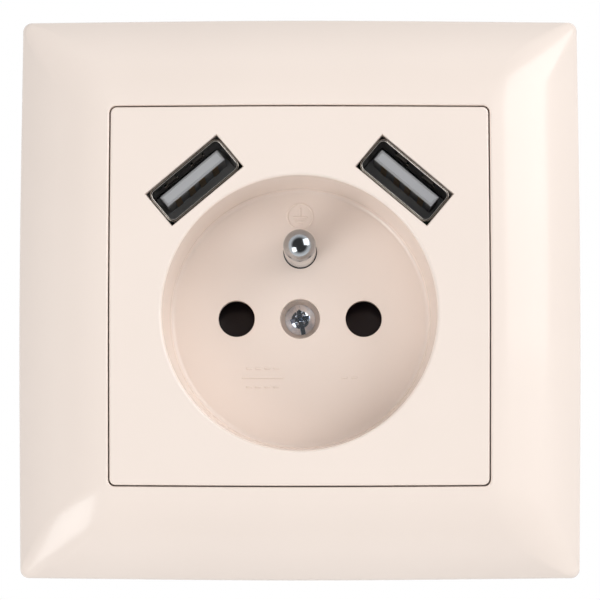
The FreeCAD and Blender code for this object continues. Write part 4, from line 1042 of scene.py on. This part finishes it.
    def earth_sign(self) -> list[Object]:
        """Model the earth sign above the pin.

        Returns:
            A ring, a stem and three shrinking bars.
        """
        y = LAYOUT.earth_y + self.earth_sign_rise
        top, bottom = LAYOUT.floor + self.relief, LAYOUT.floor - self.sign_sink
        outer, inner = self.earth_sign_radius, self.earth_sign_radius - self.sign_line
        parts = [spun("ring", [(inner, bottom), (outer, bottom), (outer, top - self.sign_round),
                               (outer - self.sign_round, top), (inner + self.sign_round, top),
                               (inner, top - self.sign_round), (inner, bottom)], 0, y),
                 self.stroke(0, y + self.earth_sign_stem / 2, self.sign_line, self.earth_sign_stem)]
        for number, width in enumerate(self.earth_sign_bars):
            below = y - self.earth_sign_drop - self.earth_sign_step * number
            parts.append(self.stroke(0, below, width, self.sign_line * self.earth_sign_thin))
        return parts

    def supply_signs(self) -> list[Object]:
        """Plain raised bars on the floor, left and right of the lower half."""
        return [self.stroke(row.x + row.spacing * number, row.y, row.width, self.sign_line)
                for row in self.supply_rows for number in range(row.count)]


@dataclass
class EarthPin:
    """Turned and plated pin with a rounded end. Sizes in mm."""

    radius: float = 2.4
    shoulder: float = 2.65
    shoulder_drop: float = 0.6
    shoulder_chamfer: float = 0.08
    stem: float = 1.9
    seat: float = -7.7
    rivet: float = 2.8
    rivet_round: float = 0.5
    strap_back: float = -12.6
    end: float = -13.4
    steps: int = 96

    def build(self) -> Object:
        """Model the pin and dress it.

        Returns:
            The new piece.
        """
        high = size_mm("earth_pin")[1]
        profile = arc_points((0, high.z - self.radius), self.radius, 90, 0, LARGE_ROUND)
        profile[0] = (0, high.z)
        top = LAYOUT.floor - self.shoulder_drop
        profile += [(self.radius, top), (self.shoulder - self.shoulder_chamfer, top),
                    (self.shoulder, top - self.shoulder_chamfer), (self.shoulder, self.seat),
                    (self.stem, self.seat), (self.stem, self.strap_back), (self.rivet, self.strap_back)]
        rivet_centre = (self.rivet - self.rivet_round, self.end + self.rivet_round)
        profile += arc_points(rivet_centre, self.rivet_round, 0, -90, SMALL_ROUND) + [(0, self.end)]
        piece = spun("turned_earth_pin", profile, 0, LAYOUT.earth_y, self.steps)
        finished(piece, NICKEL)
        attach(piece, "socket")
        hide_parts("earth_pin")
        return piece


@dataclass
class CentreScrew:
    """Pan head screw with a combined slot and cross. Sizes in mm."""

    head_radius: float = 2.3
    shank: float = 1.5
    root: float = 1.2
    pitch: float = 0.5
    crown: float = 0.55
    edge_round: float = 0.35
    slot: float = 0.7
    slot_depth: float = 0.9
    cross: float = 2.9
    socket_radius: float = 1.05
    socket_depth: float = 1.5
    edge_bevel: float = 0.06
    turn: float = 13.0
    steps: int = 72
    crown_steps: int = 10
    edge_steps: int = 6
    socket_sides: int = 8

    def build(self) -> Object:
        """Model the screw and dress it.

        Returns:
            The new piece.
        """
        low, high = size_mm("centre_screw")
        piece = spun("slotted_centre_screw", self.profile(low.z, high.z), steps=self.steps)
        above, floor = high.z + OVERRUN, high.z - self.slot_depth
        reach, half = self.head_radius + OVERRUN, self.slot / 2
        combined(piece, block((-half, -reach, floor), (half, reach, above)), Cut.AWAY)
        combined(piece, block((-self.cross / 2, -half, floor), (self.cross / 2, half, above)), Cut.AWAY)
        socket = [(0, above), (self.socket_radius, above), (self.socket_radius, high.z), (half, floor),
                  (0, high.z - self.socket_depth)]
        combined(piece, spun("socket", socket, steps=self.socket_sides), Cut.AWAY)
        with_rounded_edges(piece, self.edge_bevel, 3)
        turned_and_moved(piece, self.turn, 0, LAYOUT.recess_y)
        # The head wears the zinc that is painted brighter than ZINC: a painted highlight.
        finished(piece, SCREW_ZINC)
        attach(piece, "socket")
        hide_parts("centre_screw")
        return piece

    def profile(self, bottom: float, top: float) -> list[tuple[float, float]]:
        """Lay out the screw's outline.

        Args:
            bottom: Height of the screw's end.
            top: Height of its head.

        Returns:
            Radius and height of each corner, from the crown over the head's edge and down the thread.
        """
        edge = (self.head_radius - self.edge_round, top - self.crown - self.edge_round)
        ball = (edge[0] ** 2 + self.crown ** 2) / 2 / self.crown
        rise = degrees(atan2(ball - self.crown, edge[0]))
        points = arc_points((0, top - ball), ball, 90, rise, self.crown_steps)
        points[0] = (0, top)
        points += arc_points(edge, self.edge_round, rise, 0, self.edge_steps)
        points += [(self.head_radius, LAYOUT.well_floor), (self.shank, LAYOUT.well_floor)]
        height = LAYOUT.well_floor - self.pitch
        while height > bottom + self.pitch:
            points += [(self.shank, height), (self.root, height - self.pitch / 2)]
            height -= self.pitch
        return points + [(self.root, bottom), (0, bottom)]


@dataclass
class PortShell:
    """Folded steel shell of one port, with rounded corners, spring fingers and board legs. Sizes in mm."""

    side: Side
    width: float = 13.2
    height: float = 5.75
    sheet: float = 0.32
    corner: float = 1.1
    corner_steps: int = 6
    edge_round: float = 0.13
    front: float = 10.1
    back: float = -4.0
    leg: float = 2.4
    leg_width: float = 1.4
    finger_x: float = 2.5
    finger_width: float = 1.8
    finger_slot: float = 0.35
    finger_root: float = 1.9
    finger_overlap: float = 0.2
    finger_length: float = 5.0
    finger_dip: float = 0.44
    finger_steps: int = 12
    tip_start: float = 0.8
    tip_length: float = 0.2
    tip_lift: float = 0.5

    def build(self) -> Object:
        """Model the shell and dress it.

        Returns:
            The new piece.
        """
        name = self.side.name.lower()
        half = (self.width / 2, self.height / 2)
        piece = self.tube(half, self.corner)
        bore = self.tube((half[0] - self.sheet, half[1] - self.sheet), self.corner - self.sheet, OVERRUN)
        combined(piece, bore, Cut.AWAY)
        reach = self.finger_width / 2 + self.finger_slot
        end = self.finger_root + self.finger_length + self.finger_slot
        parts = []
        for level in (-1, 1):
            for x in (-self.finger_x, self.finger_x):
                middle = level * half[1]
                combined(piece, block((x - reach, middle - OVERRUN, self.finger_root),
                                      (x + reach, middle + OVERRUN, end)), Cut.AWAY)
                parts.append(self.finger(x, level))
        for x in (-half[0] + self.sheet / 2, half[0] - self.sheet / 2):
            parts.append(block((x - self.sheet / 2, -self.leg_width / 2, self.back - self.leg),
                               (x + self.sheet / 2, self.leg_width / 2, self.back + OVERRUN)))
        with_rounded_edges(piece, self.edge_round, 4)
        piece = joined([piece] + parts)
        piece.name = f"folded_port_shell_{name}"
        LAYOUT.to_port(piece, self.side)
        finished(piece, SHELL_STEEL)
        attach(piece, "socket")
        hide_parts(f"usb_shell_{name}")
        return piece

    def tube(self, half: tuple[float, float], corner: float, longer: float = 0.0) -> Object:
        """Model a rounded bar along the port.

        Args:
            half: Half its width and half its height.
            corner: Radius of its corners.
            longer: How far it reaches past the shell at each end.

        Returns:
            The bar.
        """
        bar = block((-half[0], -half[1], self.back - longer), (half[0], half[1], self.front + longer))
        with editing(bar, "EDGE", lambda edge: abs(edge_run(bar, edge).z) > MM):
            bpy.ops.mesh.bevel(affect="EDGES", offset=corner * MM, segments=self.corner_steps)
        return bar

    def finger(self, x: float, level: int) -> Object:
        """Model one spring finger that dips into the port and lifts again at its tip.

        Args:
            x: Place of its middle.
            level: One on the upper wall and minus one on the lower wall.

        Returns:
            The finger.
        """
        foot = self.finger_root - self.finger_overlap
        length = self.finger_length + self.finger_overlap
        outside = self.height / 2
        strip = block((x - self.finger_width / 2, outside - self.sheet, foot),
                      (x + self.finger_width / 2, outside, self.finger_root + self.finger_length))
        with editing(strip):
            for number in range(1, self.finger_steps):
                take_all()
                height = foot + length * number / self.finger_steps
                bpy.ops.mesh.bisect(plane_co=(0, 0, height * MM), plane_no=(0, 0, 1))
        for vertex in strip.data.vertices:
            share = (vertex.co.z / MM - foot) / length
            dip = sin(min(share / self.tip_start, 1.0) * pi / 2)
            dip -= self.tip_lift * max(share - self.tip_start, 0) / self.tip_length
            vertex.co.y -= self.finger_dip * dip * MM
        if level < 0:
            with editing(strip):
                bpy.ops.transform.resize(value=(1, -1, 1), center_override=(0, 0, 0))
                bpy.ops.mesh.normals_make_consistent(inside=False)
        return strip


@dataclass
class ShutterSpring:
    """Round wire spring below the shutter, which the shutter presses together. Sizes in mm."""

    wire: float = 0.32
    wire_sides: int = 10
    turns: int = 5
    steps_a_turn: int = 32
    travel: float = 5.6

    def build(self) -> Object:
        """Wind the spring and dress it.

        Returns:
            The new piece.
        """
        low, high = size_mm("shutter_spring")
        radius = (high.x - low.x - self.wire) / 2
        length = high.y - low.y
        depth = (low.z + high.z) / 2
        nothing_selected()
        bpy.ops.mesh.primitive_circle_add(vertices=self.wire_sides, radius=self.wire / 2 * MM,
                                          location=(0, 0, 0))
        piece = bpy.context.object
        piece.name = "wound_shutter_spring"
        with editing(piece):
            bpy.ops.transform.translate(value=(radius * MM, 0, 0))
        steps = self.turns * self.steps_a_turn
        applied(piece, "SCREW", axis="Y", angle=2 * pi * self.turns, screw_offset=(length - self.wire) * MM,
                steps=steps, render_steps=steps)
        with editing(piece):
            bpy.ops.mesh.fill_holes(sides=0)
            take_all()
            bpy.ops.mesh.normals_make_consistent(inside=False)
        piece.location = (0, (low.y + self.wire / 2) * MM, depth * MM)
        settled(piece)
        finished(piece, SPRING_STEEL)
        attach(piece, "socket")
        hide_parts("shutter_spring")
        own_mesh(piece)
        return piece


@dataclass
class PackedPieces:
    """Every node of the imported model, by the finish that it wears."""

    finishes: tuple[tuple[Finish, tuple[str, ...]], ...] = (
        (SHUTTER_BROWN, ("pin_shutter",)),
        (SPRING_STEEL, ("shutter_spring",)),
        (ZINC, ("mounting_yoke", "rear_screws", "line_terminal_screw", "earth_terminal_screw",
                "neutral_terminal_screw", "centre_screw")),
        (INSERT_GREY, ("socket_base", "rear_cover")),
        (BRASS, ("line_contact", "neutral_contact", "line_feed_strip", "neutral_feed_strip", "earth_strap",
                 "board_link_pins", "line_terminal_cage", "earth_terminal_cage", "neutral_terminal_cage")),
        (BOARD_GREEN, ("usb_board", "charger_board")),
        (HOUSING_WHITE, ("charger_housing",)),
        (FERRITE_GREY, ("transformer_core",)),
        (TAPE_YELLOW, ("transformer_winding",)),
        (CAN_ALUMINIUM, ("bulk_capacitor", "output_capacitor")),
        (CHIP_BLACK, ("charger_chip",)),
        (PORT_GREY, ("usb_insulator_left", "usb_insulator_right")),
        (GOLD, ("usb_contacts_left", "usb_contacts_right")),
        (CREAM_GLOSS, ("cover_frame", "centre_plate")),
        (NICKEL, ("earth_pin",)),
        (SHELL_STEEL, ("usb_shell_left", "usb_shell_right")),
    )

    def build(self) -> None:
        """Dress every node."""
        for finish, nodes in self.finishes:
            for node in nodes:
                dress(bpy.data.objects[node], finish)
                log.info("%s wears %s", node, finish.name)


@dataclass(frozen=True)
class Softbox:
    """Soft lamp that faces the socket, in metres and watts; shiny pieces reflect it if mirrored."""

    name: str
    place: tuple[float, float, float]
    side: float
    power: float
    mirrored: bool = True

    def build(self) -> None:
        """Hang the lamp and turn it to the socket."""
        data = bpy.data.lights.new(self.name, "AREA")
        data.shape = "RECTANGLE"
        data.size = data.size_y = self.side
        data.energy = self.power
        lamp = bpy.data.objects.new(self.name, data)
        lamp.visible_glossy = self.mirrored
        bpy.context.scene.collection.objects.link(lamp)
        lamp.location = self.place
        lamp.rotation_euler = (-Vector(self.place)).to_track_quat("-Z", "Y").to_euler()


@dataclass
class Studio:
    """Floor, backdrop, soft lamps and the camera. Lengths in metres."""

    floor_level: float = -0.16
    floor_front: float = -0.06
    backdrop_y: float = 0.6
    reach: float = 2.4
    camera_place: tuple[float, float, float] = (0.0039, -0.5066, -0.0340)
    camera_rise: float = 3.84
    camera_turn: float = 0.44
    lens: float = 205.6
    sensor: float = 36.0
    nearest: float = 0.01
    paper_colour: str = "#EDEDED"
    paper_roughness: float = 0.9
    room_light: float = 0.46
    room_span: tuple[float, float] = (-0.66, -0.4)
    room_levels: tuple[float, float] = (0.06, 0.85)
    lamps: tuple[Softbox, ...] = (
        Softbox("key_softbox", (0.62, -0.5, 0.33), 0.64, 3.7),
        Softbox("fill_softbox", (-0.5, -0.55, -0.42), 0.45, 2.15),
        Softbox("front_softbox", (0.0, -0.95, 0.05), 0.8, 1.4, mirrored=False),
    )

    def build(self) -> None:
        """Set up the stage, the light and the camera."""
        self.stage()
        self.world()
        for lamp in self.lamps:
            lamp.build()
        self.camera()
        bpy.context.scene.view_settings.view_transform = "Standard"

    def stage(self) -> None:
        """Pale floor below the socket and a pale backdrop well behind it."""
        paper = self.paper()
        for name, place, turn in (("floor", (0, self.floor_front + self.reach / 2, self.floor_level), 0),
                                  ("backdrop", (0, self.backdrop_y, 0), pi / 2)):
            nothing_selected()
            bpy.ops.mesh.primitive_plane_add(size=self.reach, location=place, rotation=(turn, 0, 0))
            piece = bpy.context.object
            piece.name = name
            settled(piece)
            piece.data.materials.append(paper)

    def paper(self) -> Material:
        """Make the paper of the floor and the backdrop.

        Returns:
            Matt paper that is plain white to the camera and in reflections.
        """
        material, tree, shader, _ = blank_material("white_paper")
        shader.inputs["Base Color"].default_value = linear(self.paper_colour)
        shader.inputs["Roughness"].default_value = self.paper_roughness
        path = add_node(tree, "ShaderNodeLightPath").outputs
        seen = add_node(tree, "ShaderNodeMath", {"operation": "MAXIMUM"}, {
            0: path["Is Camera Ray"], 1: path["Is Glossy Ray"]}).outputs[0]
        seen = add_node(tree, "ShaderNodeMath", {"operation": "MAXIMUM"}, {
            0: seen, 1: path["Is Transmission Ray"]}).outputs[0]
        white = add_node(tree, "ShaderNodeEmission", links={"Color": (1, 1, 1, 1), "Strength": 1.0})
        mixed = add_node(tree, "ShaderNodeMixShader", links={
            "Fac": seen, 1: shader.outputs["BSDF"], 2: white.outputs["Emission"]})
        tree.links.new(mixed.outputs["Shader"], tree.nodes["Material Output"].inputs["Surface"])
        return material

    def world(self) -> None:
        """Pale light from all round; what shines reflects a room that is dark behind the camera."""
        world = bpy.data.worlds.new("pale_room")
        bpy.context.scene.world = world
        world.use_nodes = True
        tree = world.node_tree
        way = add_node(tree, "ShaderNodeSeparateXYZ", links={
            "Vector": add_node(tree, "ShaderNodeTexCoord").outputs["Generated"]})
        room = add_node(tree, "ShaderNodeMapRange", links={
            "Value": way.outputs["Y"], "From Min": self.room_span[0], "From Max": self.room_span[1],
            "To Min": self.room_levels[0], "To Max": self.room_levels[1]})
        path = add_node(tree, "ShaderNodeLightPath").outputs
        level = add_node(tree, "ShaderNodeMix", {"data_type": "FLOAT"}, {
            "Factor": path["Is Glossy Ray"], "A": self.room_light, "B": room.outputs["Result"]})
        level = add_node(tree, "ShaderNodeMix", {"data_type": "FLOAT"}, {
            "Factor": path["Is Camera Ray"], "A": level.outputs["Result"], "B": 1.0})
        tree.nodes["Background"].inputs["Color"].default_value = (1, 1, 1, 1)
        tree.links.new(level.outputs["Result"], tree.nodes["Background"].inputs["Strength"])

    def camera(self) -> None:
        """Set the camera at the photograph's viewing angle."""
        data = bpy.data.cameras.new("camera")
        data.lens = self.lens
        data.sensor_width = self.sensor
        data.clip_start = self.nearest
        camera = bpy.data.objects.new("camera", data)
        bpy.context.scene.collection.objects.link(camera)
        camera.location = self.camera_place
        camera.rotation_euler = (radians(90 + self.camera_rise), 0, radians(self.camera_turn))
        bpy.context.scene.camera = camera


def main() -> None:
    """Build the socket piece by piece."""
    logging.basicConfig(level=logging.INFO, format="%(message)s")
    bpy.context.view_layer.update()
    PackedPieces().build()
    builders = [CoverFrame(), CentrePlate(), EarthPin(), CentreScrew(), PortShell(Side.LEFT),
                PortShell(Side.RIGHT), ShutterSpring()]
    for builder in builders:
        piece = builder.build()
        log.info("%s: %d faces", piece.name, len(piece.data.polygons))
    Studio().build()


if __name__ == "__main__":
    main()
